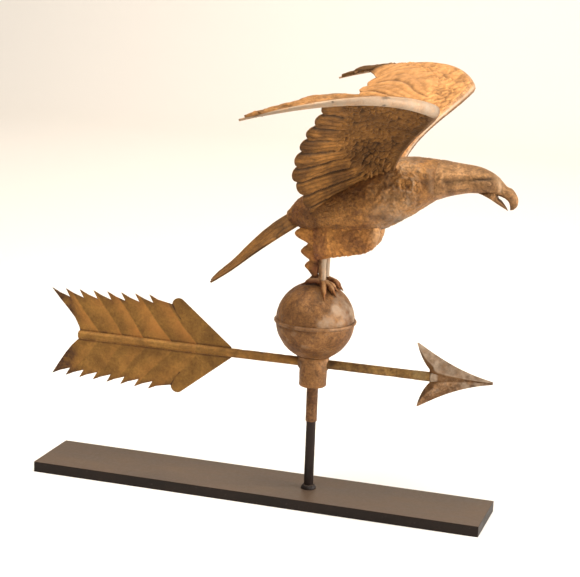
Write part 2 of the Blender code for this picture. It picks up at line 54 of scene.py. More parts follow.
# ------------------------------------------------------------------ numbers shared with the frame
BALL_R, BALL_Z = 51.4 * MM, 245.0 * MM
SHAFT_Z, HEAD_Z = 187.8 * MM, 188.8 * MM
EAGLE_YAW, EAGLE_ROLL = math.radians(2.5), math.radians(1.2)
ANKLE_X, ANKLE_Y, THIGH_Y = 9.3 * MM, 9.0 * MM, 15.5 * MM
BORE_R, SEAT_R = 7.9 * MM, 51.7 * MM
BALL_CENTRE = np.array([0, 0, BALL_Z])


# ------------------------------------------------------------------ arrays: noise, curves, grids
def value_noise(p, freq, seed=0):
    """Smooth 3-D value noise, -1 to 1, at an array of points."""
    q = p * freq + 31.7
    cell = np.floor(q).astype(np.int64)
    f = q - cell
    f = f * f * (3 - 2 * f)

    def corner(dx, dy, dz):
        x, y, z = cell[..., 0] + dx, cell[..., 1] + dy, cell[..., 2] + dz
        n = (x * 73856093) ^ (y * 19349663) ^ (z * 83492791)
        n = (n ^ (seed * 2654435761)) & 0x7FFFFFFF
        n = ((n ^ (n >> 13)) * 1274126177) & 0x7FFFFFFF
        return ((n ^ (n >> 16)) & 0xFFFF) / 32767.5 - 1

    total = 0
    for dx in (0, 1):
        for dy in (0, 1):
            for dz in (0, 1):
                weight = (f[..., 0] if dx else 1 - f[..., 0]) * (f[..., 1] if dy else 1 - f[..., 1])
                total = total + weight * (f[..., 2] if dz else 1 - f[..., 2]) * corner(dx, dy, dz)
    return total


def fbm(p, freq, octaves=3, seed=0):
    """Value noise summed over octaves, about -1 to 1."""
    total, amp, norm = 0, 1.0, 0.0
    for k in range(octaves):
        total = total + amp * value_noise(p, freq * 2**k, seed + k)
        norm += amp
        amp *= 0.5
    return total / norm


def flat(a, b, c=0.0):
    """Stack coordinates into an array of points."""
    a, b = np.broadcast_arrays(a, b)
    return np.stack([a, b, np.broadcast_to(c, a.shape)], -1)


def rand(cell_x, cell_y, seed):
    """A fixed number from 0 to 1 for each cell."""
    x, y = cell_x.astype(np.int64), cell_y.astype(np.int64)
    n = (x * 374761393 + y * 668265263 + seed * 974711) & 0x7FFFFFFF
    n = ((n ^ (n >> 13)) * 1274126177) & 0x7FFFFFFF
    return ((n ^ (n >> 16)) & 0xFFFF) / 65535.0


def nearest_cell(a, b, jitter, seed):
    """Nearest jittered centre in a brick pattern: offset and distance to it, and its two random numbers."""
    best = np.full(np.shape(a), 9.0)
    out = [np.zeros(np.shape(a)) for _ in range(4)]
    row = np.floor(b)
    for dr in (-1, 0, 1):
        r = row + dr
        shift = 0.5 * (r % 2)
        col = np.floor(a - shift)
        for dc in (-1, 0, 1):
            c = col + dc
            cx = c + shift + 0.5 + jitter * (rand(c, r, seed) - 0.5)
            cy = r + 0.5 + jitter * (rand(c, r, seed + 1) - 0.5)
            dx, dy = a - cx, b - cy
            d = np.hypot(dx, dy)
            hit = d < best
            best = np.where(hit, d, best)
            for k, value in enumerate((dx, dy, rand(c, r, seed + 2), rand(c, r, seed + 3))):
                out[k] = np.where(hit, value, out[k])
    return (*out[:2], best, *out[2:])


def step(low, high, x):
    """Smooth rise from 0 at low to 1 at high."""
    t = np.clip((x - low) / (high - low), 0, 1)
    return t * t * (3 - 2 * t)


def bell(x, width):
    """Smooth hump, 1 at x = 0."""
    return np.exp(-((x / width) ** 2))


def circle(count):
    """Angles of evenly spaced points round a circle."""
    return np.arange(count) / count * math.tau


def curls(a, b, seed):
    """Curled breast feathers, about 0 to 1: each cell is a domed leaf with a hooked rim, lapping the next."""
    dx, dy, d, r1, r2 = nearest_cell(a, b, 0.45, seed)
    turn = (r1 - 0.5) * 1.6
    x, y = dx * np.cos(turn) + dy * np.sin(turn), -dx * np.sin(turn) + dy * np.cos(turn)
    angle = np.arctan2(y, x)
    ring = bell(d - 0.36, 0.11) * (0.55 + 0.45 * np.cos(angle - math.pi * (0.75 + 0.3 * r2)))
    core = bell(np.hypot(x + 0.04, y), 0.17) * 0.75
    lap = np.clip(0.5 - x, 0, 1) * 0.55
    return (ring + core + lap - 0.4 * step(0.44, 0.66, d)) * (0.65 + 0.7 * r2)


def scales(a, b, seed, jitter=0.25):
    """Overlapping rounded feathers, about 0 to 1, whose free ends point to lower a."""
    dx, dy, d, r1, _ = nearest_cell(a, b, jitter, seed)
    lap = np.clip(0.55 - dx, 0, 1.1)
    rib = 0.18 * bell(dy, 0.07) + 0.08 * np.cos(22 * (dy + 0.5 * np.abs(dx)))
    return lap * 0.7 + rib - 0.9 * step(0.36, 0.60, d) + 0.25 * (r1 - 0.5)


def bezier(points, t):
    a, b, c, d = (np.asarray(p, float) for p in points)
    t = np.asarray(t, float)[..., None]
    s = 1 - t
    return s**3 * a + 3 * s * s * t * b + 3 * s * t * t * c + t**3 * d


def spline(points, t):
    """Catmull-Rom curve through points; t runs from 0 to 1 over the whole length."""
    p = np.asarray(points, float)
    p = np.vstack([2 * p[0] - p[1], p, 2 * p[-1] - p[-2]])
    place = np.clip(np.asarray(t, float), 0, 1) * (len(points) - 1)
    i = np.minimum(place.astype(int), len(points) - 2)
    f = (place - i)[..., None]
    p0, p1, p2, p3 = p[i], p[i + 1], p[i + 2], p[i + 3]
    return 0.5 * (2 * p1 + (p2 - p0) * f + (2 * p0 - 5 * p1 + 4 * p2 - p3) * f * f
                  + (3 * p1 - p0 - 3 * p2 + p3) * f**3)


def unit(v):
    return v / np.maximum(np.linalg.norm(v, axis=-1, keepdims=True), 1e-12)


def normals(grid, wrap=False):
    """Unit normals of a grid of points, from its own differences; wrap closes the second direction."""
    du = np.gradient(grid, axis=0)
    if wrap:
        dv = np.roll(grid, -1, 1) - np.roll(grid, 1, 1)
    else:
        dv = np.gradient(grid, axis=1)
    return unit(np.cross(du, dv))


def pose(p):
    """From the eagle's own square set-up to the way it stands on the ball."""
    turn = np.array(Matrix.Rotation(EAGLE_YAW, 3, "Z") @ Matrix.Rotation(EAGLE_ROLL, 3, "X"))
    return (p - BALL_CENTRE) @ turn.T + BALL_CENTRE


def quads(rows, cols, wrap=False, start=0, flip=False):
    """Faces of a grid of points; wrap joins each row's last point to its first."""
    i, j = np.meshgrid(np.arange(rows - 1), np.arange(cols if wrap else cols - 1), indexing="ij")
    k = (j + 1) % cols
    a, b = i * cols, (i + 1) * cols
    f = np.stack([a + j, a + k, b + k, b + j], -1).reshape(-1, 4) + start
    return f[:, ::-1] if flip else f


def skin(top, bottom, tint):
    """Closed sheet between two grids: (points, faces, tints)."""
    n, m = top.shape[:2]
    size = n * m
    index = np.arange(size).reshape(n, m)
    rim = np.concatenate([index[0, :-1], index[:-1, -1], index[-1, :0:-1], index[:0:-1, 0]])
    nxt = np.roll(rim, -1)
    side = np.stack([nxt, rim, rim + size, nxt + size], -1)
    faces = np.vstack([quads(n, m), quads(n, m, start=size, flip=True), side])
    points = np.vstack([top.reshape(-1, 3), bottom.reshape(-1, 3)])
    return points, faces, np.vstack([tint.reshape(-1, 3)] * 2)


def closed_loft(grid, tint):
    """Closed solid from rings (n, m, 3), with a centre point at each end: (points, faces, tints)."""
    n, m = grid.shape[:2]
    points = np.vstack([grid.reshape(-1, 3), grid[0].mean(0), grid[-1].mean(0)])
    tints = np.vstack([tint.reshape(-1, 3), tint[0].mean(0), tint[-1].mean(0)])
    j = np.arange(m)
    k = (j + 1) % m
    caps = [np.stack([k, j, np.full(m, n * m)], -1),
            np.stack([(n - 1) * m + j, (n - 1) * m + k, np.full(m, n * m + 1)], -1)]
    return points, [*quads(n, m, True).tolist(), *caps[0].tolist(), *caps[1].tolist()], tints


def join(*parts):
    """Several (points, faces, tints) as one."""
    points, faces, tints, start = [], [], [], 0
    for p, f, t in parts:
        points.append(p)
        tints.append(t)
        faces += [[v + start for v in face] for face in (f.tolist() if hasattr(f, "tolist") else f)]
        start += len(p)
    return np.vstack(points), faces, np.vstack(tints)


def tints(shape, relief=0.5, wear=0.0, rust=0.0):
    """Colour guide per point: relief (0 hollow to 1 high), which the materials turn into painted shade and
    highlight; rubbed grey, which some parts use for painted light; dark rust, which some parts use for
    painted shade.
    """
    out = np.empty((*shape, 3))
    out[..., 0], out[..., 1], out[..., 2] = np.clip(relief, 0, 1), np.clip(wear, 0, 1), np.clip(rust, 0, 1)
    return out


def frames(path):
    """Two unit normals along a path that don't twist."""
    along = unit(np.gradient(path, axis=0))
    first = np.cross(along[0], [0, 0, 1.0])
    if np.linalg.norm(first) < 0.2:
        first = np.cross(along[0], [1.0, 0, 0])
    normal = [unit(first)]
    for t in along[1:]:
        normal.append(unit(normal[-1] - t * np.dot(normal[-1], t)))
    normal = np.array(normal)
    return normal, np.cross(along, normal)


def tube(path, radius, sides=24):
    """Rings (n, sides, 3) round a path; radius is (n,) or (n, sides). Also the angle round it."""
    a, b = frames(path)
    turn = circle(sides)
    radius = np.asarray(radius, float)
    radius = radius[:, None] if radius.ndim == 1 else radius
    ring = np.cos(turn)[None, :, None] * a[:, None] + np.sin(turn)[None, :, None] * b[:, None]
    return path[:, None] + ring * radius[..., None], turn


def swell(ring, path, lift):
    """Rings round a path, with each point moved out from the path."""
    return ring + unit(ring - path[:, None]) * lift[..., None]


def piece(name, made, node, material, body="vane"):
    """Object from (points, faces, tints) that takes the place of a node of the frame."""
    points, faces, tint = made
    mesh = bpy.data.meshes.new(name)
    mesh.from_pydata(points.tolist(), [], faces.tolist() if hasattr(faces, "tolist") else faces)
    mesh.validate()
    mesh.update()
    layer = mesh.attributes.new("tint", "FLOAT_COLOR", "POINT")
    layer.data.foreach_set("color", np.hstack([tint, np.ones((len(tint), 1))]).ravel())
    mesh.polygons.foreach_set("use_smooth", [True] * len(mesh.polygons))
    item = bpy.data.objects.new(name, mesh)
    bpy.context.scene.collection.objects.link(item)
    mesh.materials.append(material)
    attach(item, body)
    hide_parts(node)
    return item


# ------------------------------------------------------------------ materials
class Nodes:
    """Short names for building a shader tree."""

    def __init__(self, name):
        self.material = bpy.data.materials.new(name)
        self.material.use_nodes = True
        self.tree = self.material.node_tree
        self.shader = self.tree.nodes["Principled BSDF"]
        self.place = self.tree.nodes.new("ShaderNodeTexCoord").outputs["Object"]

    def new(self, kind, **values):
        node = self.tree.nodes.new(kind)
        for key, value in values.items():
            setattr(node, key, value)
        return node

    def link(self, a, b):
        self.tree.links.new(a, b)

    def noise(self, scale, detail=4.0, roughness=0.55, shift=0.0, stretch=(1, 1, 1), distortion=0.0):
        move = self.new("ShaderNodeMapping")
        move.inputs["Location"].default_value = (shift, shift * 0.7, -shift)
        move.inputs["Scale"].default_value = stretch
        self.link(self.place, move.inputs["Vector"])
        node = self.new("ShaderNodeTexNoise")
        for key, value in zip(("Scale", "Detail", "Roughness", "Distortion"),
                              (scale, detail, roughness, distortion)):
            node.inputs[key].default_value = value
        self.link(move.outputs[0], node.inputs["Vector"])
        return node.outputs["Fac"]

    def ramp(self, fac, *stops):
        node = self.new("ShaderNodeValToRGB")
        marks = node.color_ramp.elements
        while len(marks) < len(stops):
            marks.new(0.5)
        for mark, (place, colour) in zip(marks, stops):
            mark.position = place
            mark.color = (*colour, 1) if isinstance(colour, tuple) else (colour, colour, colour, 1)
        self.link(fac, node.inputs["Fac"])
        return node.outputs["Color"]

    def mix(self, fac, a, b, mode="MIX"):
        node = self.new("ShaderNodeMix", data_type="RGBA", blend_type=mode)
        for socket, value in ((node.inputs[0], fac), (node.inputs[6], a), (node.inputs[7], b)):
            if isinstance(value, (int, float)):
                socket.default_value = value
            elif isinstance(value, tuple):
                socket.default_value = (*value, 1)
            else:
                self.link(value, socket)
        return node.outputs[2]

    def math(self, kind, a, b):
        node = self.new("ShaderNodeMath", operation=kind)
        for socket, value in zip(node.inputs, (a, b)):
            if isinstance(value, (int, float)):
                socket.default_value = value
            else:
                self.link(value, socket)
        return node.outputs[0]

    def bump(self, height, strength, distance, below=None):
        node = self.new("ShaderNodeBump")
        node.inputs["Strength"].default_value = strength
        node.inputs["Distance"].default_value = distance
        self.link(height, node.inputs["Height"])
        if below is not None:
            self.link(below, node.inputs["Normal"])
        return node.outputs["Normal"]


def copper(name, light, mid, dark, rust=(0.17, 0.055, 0.022), shift=0.0, rust_from=0.60,
           pale=(0.50, 0.40, 0.30), pale_from=0.66, metallic=0.45, grit=1.0):
    """Weathered copper: clouded ochre and brown, rust stains, rubbed pale places, painted shade in hollows
    and a painted highlight on raised places.

    The higher rust_from and pale_from are, the fewer stray stains there are; grit is the weight of the
    fine speckle, and shift moves the whole pattern.
    """
    n = Nodes(name)
    cloud = n.noise(30, 6, 0.66, shift, distortion=0.4)
    colour = n.ramp(cloud, (0.36, dark), (0.49, mid), (0.60, light))
    speck = n.noise(170, 5, 0.70, shift + 3)
    colour = n.mix(n.ramp(speck, (0.50, 0.0), (0.62, 0.75 * grit)), colour, dark)
    mottle = n.noise(330, 4, 0.7, shift + 5)
    colour = n.mix(0.75 * grit, colour, n.ramp(mottle, (0.36, 0.55), (0.62, 1.35)), "MULTIPLY")
    guide = n.new("ShaderNodeAttribute", attribute_name="tint")
    parts = n.new("ShaderNodeSeparateColor")
    n.link(guide.outputs["Color"], parts.inputs[0])
    high, worn, stained = parts.outputs
    blot = n.noise(17, 5, 0.6, shift + 7, distortion=0.8)
    stain = n.math("MAXIMUM", n.ramp(blot, (rust_from, 0.0), (rust_from + 0.10, 0.8)),
                   n.math("MULTIPLY", stained, n.ramp(speck, (0.35, 0.5), (0.6, 1.0))))
    colour = n.mix(stain, colour, rust)
    dust = n.noise(60, 6, 0.7, shift + 11)
    rub = n.math("MAXIMUM", n.ramp(dust, (pale_from, 0.0), (pale_from + 0.12, 0.45)),
                 n.math("MULTIPLY", worn, n.ramp(dust, (0.38, 0.55), (0.58, 1.0))))
    colour = n.mix(rub, colour, pale)
    # painted shade and highlight: the first tint channel darkens hollows and lightens raised places
    shade = n.ramp(high, (0.0, 0.30), (0.35, 0.72), (0.62, 1.0), (1.0, 1.28))
    colour = n.mix(1.0, colour, shade, "MULTIPLY")
    n.link(colour, n.shader.inputs["Base Color"])
    n.link(n.ramp(n.math("ADD", n.math("MULTIPLY", cloud, 0.5), n.math("MULTIPLY", speck, 0.5)),
                  (0.35, 0.72), (0.65, 0.46)), n.shader.inputs["Roughness"])
    n.shader.inputs["Metallic"].default_value = metallic
    n.shader.inputs["Specular IOR Level"].default_value = 0.3
    grain = n.bump(n.noise(1100, 3, 0.6, shift), 0.4, 0.0003)
    pits = n.bump(mottle, 0.5, 0.0008, grain)
    n.link(n.bump(speck, 0.5, 0.0014, pits), n.shader.inputs["Normal"])
    return n.material


def paint(name, base, edge, roughness):
    """Satin black-brown paint on bar steel: faint mottling, dust, a lighter brown on faces that point up
    (partly dust, partly painted sheen) and a fine orange-peel.
    """
    n = Nodes(name)
    cloud = n.noise(14, 5, 0.6, stretch=(1, 2.5, 2.5))
    dust = n.noise(220, 4, 0.7, 2.0)
    colour = n.mix(n.ramp(cloud, (0.35, 0.0), (0.7, 1.0)), base, edge)
    colour = n.mix(n.ramp(dust, (0.62, 0.0), (0.74, 0.25)), colour, (0.12, 0.10, 0.085))
    # faces that point up are painted a lighter brown: partly dust, partly painted sheen
    facing = n.new("ShaderNodeSeparateXYZ")
    n.link(n.new("ShaderNodeTexCoord").outputs["Normal"], facing.inputs[0])
    colour = n.mix(n.math("MULTIPLY", n.ramp(facing.outputs[2], (0.6, 0.0), (0.95, 0.75)),
                          n.ramp(cloud, (0.3, 0.6), (0.7, 1.0))), colour, (0.13, 0.085, 0.055))
    n.shader.inputs["Specular IOR Level"].default_value = 0.16
    n.link(colour, n.shader.inputs["Base Color"])
    n.link(n.ramp(n.math("ADD", n.math("MULTIPLY", cloud, 0.6), n.math("MULTIPLY", dust, 0.4)),
                  (0.35, roughness - 0.08), (0.65, roughness + 0.10)), n.shader.inputs["Roughness"])
    peel = n.bump(n.noise(700, 3, 0.5), 0.12, 0.0003)
    n.link(n.bump(n.noise(60, 3, 0.5, 5.0), 0.12, 0.001, peel), n.shader.inputs["Normal"])
    return n.material


BODY_COPPER = copper("breast_copper", (0.321, 0.139, 0.0295), (0.218, 0.0872, 0.0166),
                     (0.115, 0.0425, 0.009), rust=(0.0999, 0.027, 0.00624), pale=(0.255, 0.190, 0.125))
NECK_COPPER = copper("neck_copper", (0.355, 0.18, 0.0677), (0.245, 0.12, 0.0424), (0.134, 0.0613, 0.0224),
                     shift=2, rust_from=0.68, pale=(0.347, 0.237, 0.142))
# wing copper: its pale colour is a bright orange, used mainly as painted light on the upper side of the wings
WING_COPPER = copper("wing_copper", (0.240, 0.106, 0.0235), (0.174, 0.075, 0.016), (0.096, 0.041, 0.010),
                     shift=5, rust=(0.088, 0.042, 0.0135), pale=(0.58, 0.282, 0.100), pale_from=0.9,
                     grit=0.6)
# edge copper: about twice as bright as the wing copper; on the rolled edges this is partly their own paler
# tone and partly painted light from above. The shanks use it too.
EDGE_COPPER = copper("edge_copper", (0.53, 0.275, 0.116), (0.42, 0.214, 0.088), (0.245, 0.125, 0.055),
                     shift=8, rust=(0.105, 0.048, 0.0165), rust_from=0.8, pale=(0.325, 0.243, 0.170),
                     pale_from=0.74, metallic=0.35)
LEG_COPPER = copper("leg_copper", (0.420, 0.180, 0.040), (0.300, 0.121, 0.0265), (0.150, 0.055, 0.0145),
                    shift=12, rust=(0.125, 0.036, 0.012), pale=(0.37, 0.235, 0.12), pale_from=0.72,
                    grit=0.75)
BALL_COPPER = copper("ball_copper", (0.252, 0.114, 0.0343), (0.191, 0.0817, 0.0222),
                     (0.113, 0.0447, 0.0129), shift=15, rust=(0.104, 0.0335, 0.00975), rust_from=0.62,
                     pale=(0.285, 0.195, 0.125), pale_from=0.60, metallic=0.35)
SHAFT_COPPER = copper("shaft_copper", (0.312, 0.177, 0.0509), (0.214, 0.113, 0.0299),
                      (0.107, 0.053, 0.0156), shift=18, rust_from=0.68, pale=(0.357, 0.256, 0.114))
# fletching copper: its pale colour is the orange painted on the pressed bands of the blades, partly their own
# tone and partly painted light
FLETCH_COPPER = copper("fletching_copper", (0.300, 0.150, 0.033), (0.240, 0.117, 0.026),
                       (0.185, 0.089, 0.021), shift=21, rust=(0.052, 0.020, 0.012), rust_from=0.76,
                       pale=(0.44, 0.176, 0.040), pale_from=0.9, grit=0.55)
HEAD_CASTING = copper("arrowhead_casting", (0.320, 0.176, 0.084), (0.215, 0.112, 0.050),
                      (0.100, 0.050, 0.0225), shift=25, rust=(0.150, 0.070, 0.024),
                      pale=(0.370, 0.280, 0.200), pale_from=0.60)
SLEEVE_BROWN = copper("sleeve_brown", (0.64, 0.30, 0.117), (0.43, 0.19, 0.0715), (0.20, 0.084, 0.036),
                      shift=28, rust=(0.133, 0.048, 0.022), pale=(0.627, 0.352, 0.154), pale_from=0.63)
PLATE_PAINT = paint("base_paint", (0.009, 0.0055, 0.004), (0.016, 0.0095, 0.007), 0.46)
POST_PAINT = paint("post_paint", (0.011, 0.0065, 0.005), (0.021, 0.012, 0.009), 0.40)


# ------------------------------------------------------------------ the eagle
SHOULDER, WRIST, WING_TIP = (0.099, 0.022, 0.452), (0.171, 0.129, 0.547), (-0.041, 0.240, 0.5355)
ARM = [SHOULDER, (0.113, 0.050, 0.500), (0.157, 0.083, 0.524), WRIST]
HAND = [WRIST, (0.142, 0.214, 0.5735), (0.070, 0.248, 0.570), WING_TIP]
INNER_TIPS = [(-0.004, 0.030, 0.394), (-0.009, 0.045, 0.407), (-0.014, 0.0625, 0.428),
              (-0.0165, 0.080, 0.447), (-0.009, 0.0975, 0.471), (0.002, 0.115, 0.492), (0.014, 0.1325, 0.511)]
LEFT_TIPS = INNER_TIPS + [(0.012, 0.151, 0.5245), (0.008, 0.169, 0.529), (0.016, 0.186, 0.538),
                          (0.019, 0.207, 0.5475), (-0.010, 0.224, 0.5505), WING_TIP]
RIGHT_TIPS = INNER_TIPS + [(0.029, 0.151, 0.530), (0.040, 0.169, 0.546), (0.040, 0.186, 0.557),
                           (0.024, 0.206, 0.5585), (0.006, 0.223, 0.5505), WING_TIP]
LEFT_WING_DROP = math.radians(1.1)
ARM_SHARE = 0.58


def wing_lines(tips, u):
    """Centre and radius of the rolled leading edge, and the feather tips, at each u from root to tip."""
    arm, hand = np.clip(u / ARM_SHARE, 0, 1), np.clip((u - ARM_SHARE) / (1 - ARM_SHARE), 0, 1)
    front = np.where((u < ARM_SHARE)[:, None], bezier(ARM, arm), bezier(HAND, hand))
    radius = np.where(u < ARM_SHARE, 3.2 + 4.8 * arm**1.5, 8.0 - 6.7 * hand**1.2) * MM
    back = spline(tips, u)
    return front + unit(back - front) * radius[:, None] * 0.85, radius, back


def set_wing(p, side):
    """From the square set-up of the left wing to either side; the left wing sits a little lower."""
    drop = LEFT_WING_DROP if side > 0 else 0
    y, z = p[..., 1] - SHOULDER[1], p[..., 2] - SHOULDER[2]
    return np.stack([p[..., 0], side * (SHOULDER[1] + y * math.cos(drop) + z * math.sin(drop)),
                     SHOULDER[2] + z * math.cos(drop) - y * math.sin(drop)], -1)


def in_box(p):
    """Keep the wings inside the size of the CAD part."""
    return np.clip(p, np.array(CAD_BOX[0]) + 0.1 * MM, np.array(CAD_BOX[1]) - 0.1 * MM)


def flight_feathers(k, t, v, seed):
    """Pressed relief of the long feathers: three ribs each, a deep step at each lap, and fine barbs."""
    ribs = np.abs(np.cos(3 * math.pi * t)) ** 0.8
    vary = 0.6 + 0.8 * rand(k, np.round(3 * t), seed)
    wave = np.sin(11 * v + 6 * rand(k, k * 0, seed)) * np.sin(7 * t)
    barbs = np.sin(52 * v + 17 * np.abs(t) + 4 * rand(k, k * 0, seed))
    return 1.0 * ribs * vary - 0.9 * gaps(t) + 0.40 * (t + 0.5) + 0.14 * wave + 0.06 * barbs - 0.2


def gaps(t):
    """1 where one feather laps the next."""
    return bell(np.abs(t) - 0.5, 0.075)


def scrolls(a, b, seed):
    """Small engraved scroll marks that run on the slant, about -1 to 1."""
    slant_a, slant_b = a + 0.6 * b, b - 0.4 * a
    return 1.1 * curls(slant_a, slant_b * 1.25, seed) - 0.35


def make_wing(side, tag, tips, seed):
    """Feathered sheet of a wing, with its own relief above and below."""
    rows, cols = 300, 120
    u = np.linspace(0, 0.985, rows)
    v = np.linspace(0, 1, cols)
    front, radius, back = wing_lines(tips, u)
    feather = 12 * u
    k = np.round(feather)
    t = feather - k
    notch = np.abs(2 * t) ** 2.4 * (1 - 0.25 * t)
    depth = np.where(k > 10, 16, 6) * MM * (0.8 + 0.4 * rand(k, k * 0, seed))
    along = back - front
    length = np.linalg.norm(along, axis=1)
    start = radius * 0.04
    reach = np.maximum(length - notch * depth - start, MM)
    chord = start[:, None] + reach[:, None] * v
    mid = front[:, None] + (along / length[:, None])[:, None] * chord[..., None]
    bow = 14 * MM * np.sin(math.pi * np.minimum(v * 1.05, 1))
    bow = bow * ((1 - u) ** 0.4 * np.minimum(1, 5 * u))[:, None]
    mid = mid + np.array([-0.45, -0.45, 0.77]) * bow[..., None]

    # the feathers fan out from the shoulder
    vv = chord / length[:, None]
    spread = 15.6 * (u * (1 - u))[:, None] * (1 - vv) * (1 - step(0.5, 0.8, u))[:, None]
    fan = np.minimum(feather[:, None] + spread, 12)
    fan = fan + 0.10 * fbm(mid, 38, 3, seed) * (1 - step(0.8, 0.97, vv))
    kk = np.round(fan)
    tt = fan - kk
    span = np.cumsum(np.r_[0, np.linalg.norm(np.diff(mid[:, 45], axis=0), axis=1)])[:, None]
    rough = fbm(mid, 90, 3, seed + 5)
    fine = fbm(mid, 240, 2, seed + 6)

    def side_relief(shift, border, cell):
        border = border + 0.04 * np.sin(8 * feather[:, None] + shift)
        border = border + 0.08 * fbm(mid, 50, 3, seed + 9 + shift)
        quills = step(border - 0.03, border + 0.05, vv)
        warp = 0.7 * fbm(mid, 90, 2, seed + 15 + shift)
        small = 1.5 * scrolls(chord / cell + warp, span / cell - warp, seed + shift) + 1.1 * rough - 0.1
        lap = 0.5 * (1 - step(border, border + 0.05, vv))
        return quills * flight_feathers(kk, tt, vv, seed) + (1 - quills) * small + lap + 0.20 * rough, quills

    # below, the feathers reach farther forward near the root
    low_border = np.interp(u, [0, 0.05, 0.12, 0.2, 0.32, 0.45, 0.65, 0.85, 1],
                           [0.30, 0.36, 0.44, 0.52, 0.58, 0.64, 0.74, 0.66, 0.6])[:, None]
    top_border = np.interp(u, [0, 0.3, 0.6, 1], [0.15, 0.22, 0.30, 0.30])[:, None]
    fade = step(0.02, 0.09, v)[None] * (1 - 0.55 * step(0.90, 1.0, v)[None]) * step(0.0, 0.05, 1 - u)[:, None]
    below, low_quills = side_relief(0, low_border, 10 * MM)
    above, _ = side_relief(3, top_border, 14 * MM)
    normal = normals(mid)
    if (normal[rows // 2, cols // 2] * [-0.45, -0.45, 0.77]).sum() < 0:
        normal = -normal
    # the sheet fairs over the rolled edge above, and under it as far as the wrist
    thick = 0.8 * MM
    past = chord / radius[:, None]
    hump = np.maximum(1.03 * np.sqrt(np.clip(1 - past**2, 0, 1)), 0.80 * np.exp(-np.abs(past - 0.6) / 1.6))
    round_over = radius[:, None] * hump - thick * np.exp(-past**2)
    arm = 1 - step(0.50, 0.57, u)[:, None]
    top = mid + normal * (thick + round_over + 0.80 * MM * above * fade)[..., None]
    low = mid - normal * (thick + round_over * arm + 1.5 * MM * below * fade)[..., None]
    # painted light and shade on the upper side of the wings: the pale channel paints the left wing bright
    # orange and the right wing a little, and the left wing's finger tips are painted dark as shade. The right
    # wing's upper side is also a little darker.
    painted_shade_fingers = step(0.835, 0.875, u)[:, None] * (side > 0)
    pale = (0.95 if side > 0 else 0.35) + 0.35 * rough
    shade_top = tints(below.shape, 0.50 + 0.30 * above + 0.08 * fine, pale * (1 - painted_shade_fingers),
                      0.35 * step(0.93, 1.0, v)[None] + 0.9 * painted_shade_fingers + 0.15 * (side < 0))
    # painted shadow: a dark band under the rolled edge along the hand
    painted_shadow_under_roll = (1 - step(0.02, 0.09, vv)) * (1 - arm)
    root = 1 - step(0.03, 0.075, u)[:, None]
    # the laps between the long feathers are darker, partly as dark oxide and partly as painted shade; the
    # relief below also paints shade in the hollows and under the rolled edge
    split = gaps(tt) * low_quills
    dark = (1 - low_quills) * (0.40 + 0.5 * rough) + 0.35 * step(0.95, 1.0, v)[None] + 0.3 * painted_shadow_under_roll
    relief = 0.30 + 0.58 * below * fade + 0.12 * fine - 0.3 * painted_shadow_under_roll - 0.2 * split
    shade_low = tints(below.shape, relief, 0.25 * root * step(0.0, 0.4, rough), dark + 0.55 * split)
    top, low = (in_box(pose(set_wing(sheet, side))) for sheet in (top, low))
    points, faces, tint = skin(top, low, shade_top)
    tint[len(tint) // 2:] = shade_low.reshape(-1, 3)
    piece(f"wing_{tag}_feathers", (points, faces, tint), f"wing_{tag}", WING_COPPER)


def make_wing_edge(side, tag, tips, seed):
    """Rolled leading edge: rubbed pale along the hand and above, dark and engraved below the arm, with
    painted light on its upper side and painted shade below the arm.
    """
    u = np.linspace(0, 0.995, 240)
    path, radius, rear = wing_lines(tips, u)
    rear = set_wing(rear, side) - set_wing(path, side)
    path = set_wing(path, side)
    ring, turn = tube(path, radius * 0.955, 44)
    out = unit(ring - path[:, None])
    over = unit(np.cross(np.gradient(path, axis=0), rear))
    over = over * np.sign((over * [-0.45, -0.45 * side, 0.77]).sum(-1, keepdims=True))
    facing = (out * over[:, None]).sum(-1)
    under = step(0.25, -0.25, facing) if side > 0 else step(0.9, 0.5, facing)
    front = step(0.75, 0.30, facing)
    hand = step(0.565, 0.60, u)[:, None]
    lumps = fbm(ring, 45, 4, seed + 40)
    nick = step(0.35, 0.55, value_noise(ring, 210, seed + 41))
    nick = nick * step(0.1, 0.4, value_noise(ring, 45, seed + 42))
    small = scrolls(u[:, None] * 38 + 0 * turn, turn[None] * 1.3 + 0 * u[:, None], seed + 44)
    lift = 0.5 * np.minimum(lumps, 0.1) - 0.55 * nick * hand
    lift = lift + (1 - hand) * 0.9 * np.clip(small, -1, 0.2) * under
    ring = ring + out * (lift * MM)[..., None]
    wear = front * np.maximum(hand, 1 - under) * (0.95 + 0.5 * lumps) + 0.8 * hand * (side < 0)
    dark = (1 - hand) * under * (0.85 + 0.6 * lumps)
    # painted light on the upper side of the roll and painted shade below it along the arm
    relief = 0.62 + 0.3 * lumps - 0.8 * nick * hand - 0.25 * (1 - hand) * under + 0.25 * (1 - under)
    piece(f"wing_edge_{tag}_roll", closed_loft(in_box(pose(ring)), tints(ring.shape[:2], relief, wear, dark)),
          f"wing_edge_{tag}", EDGE_COPPER)


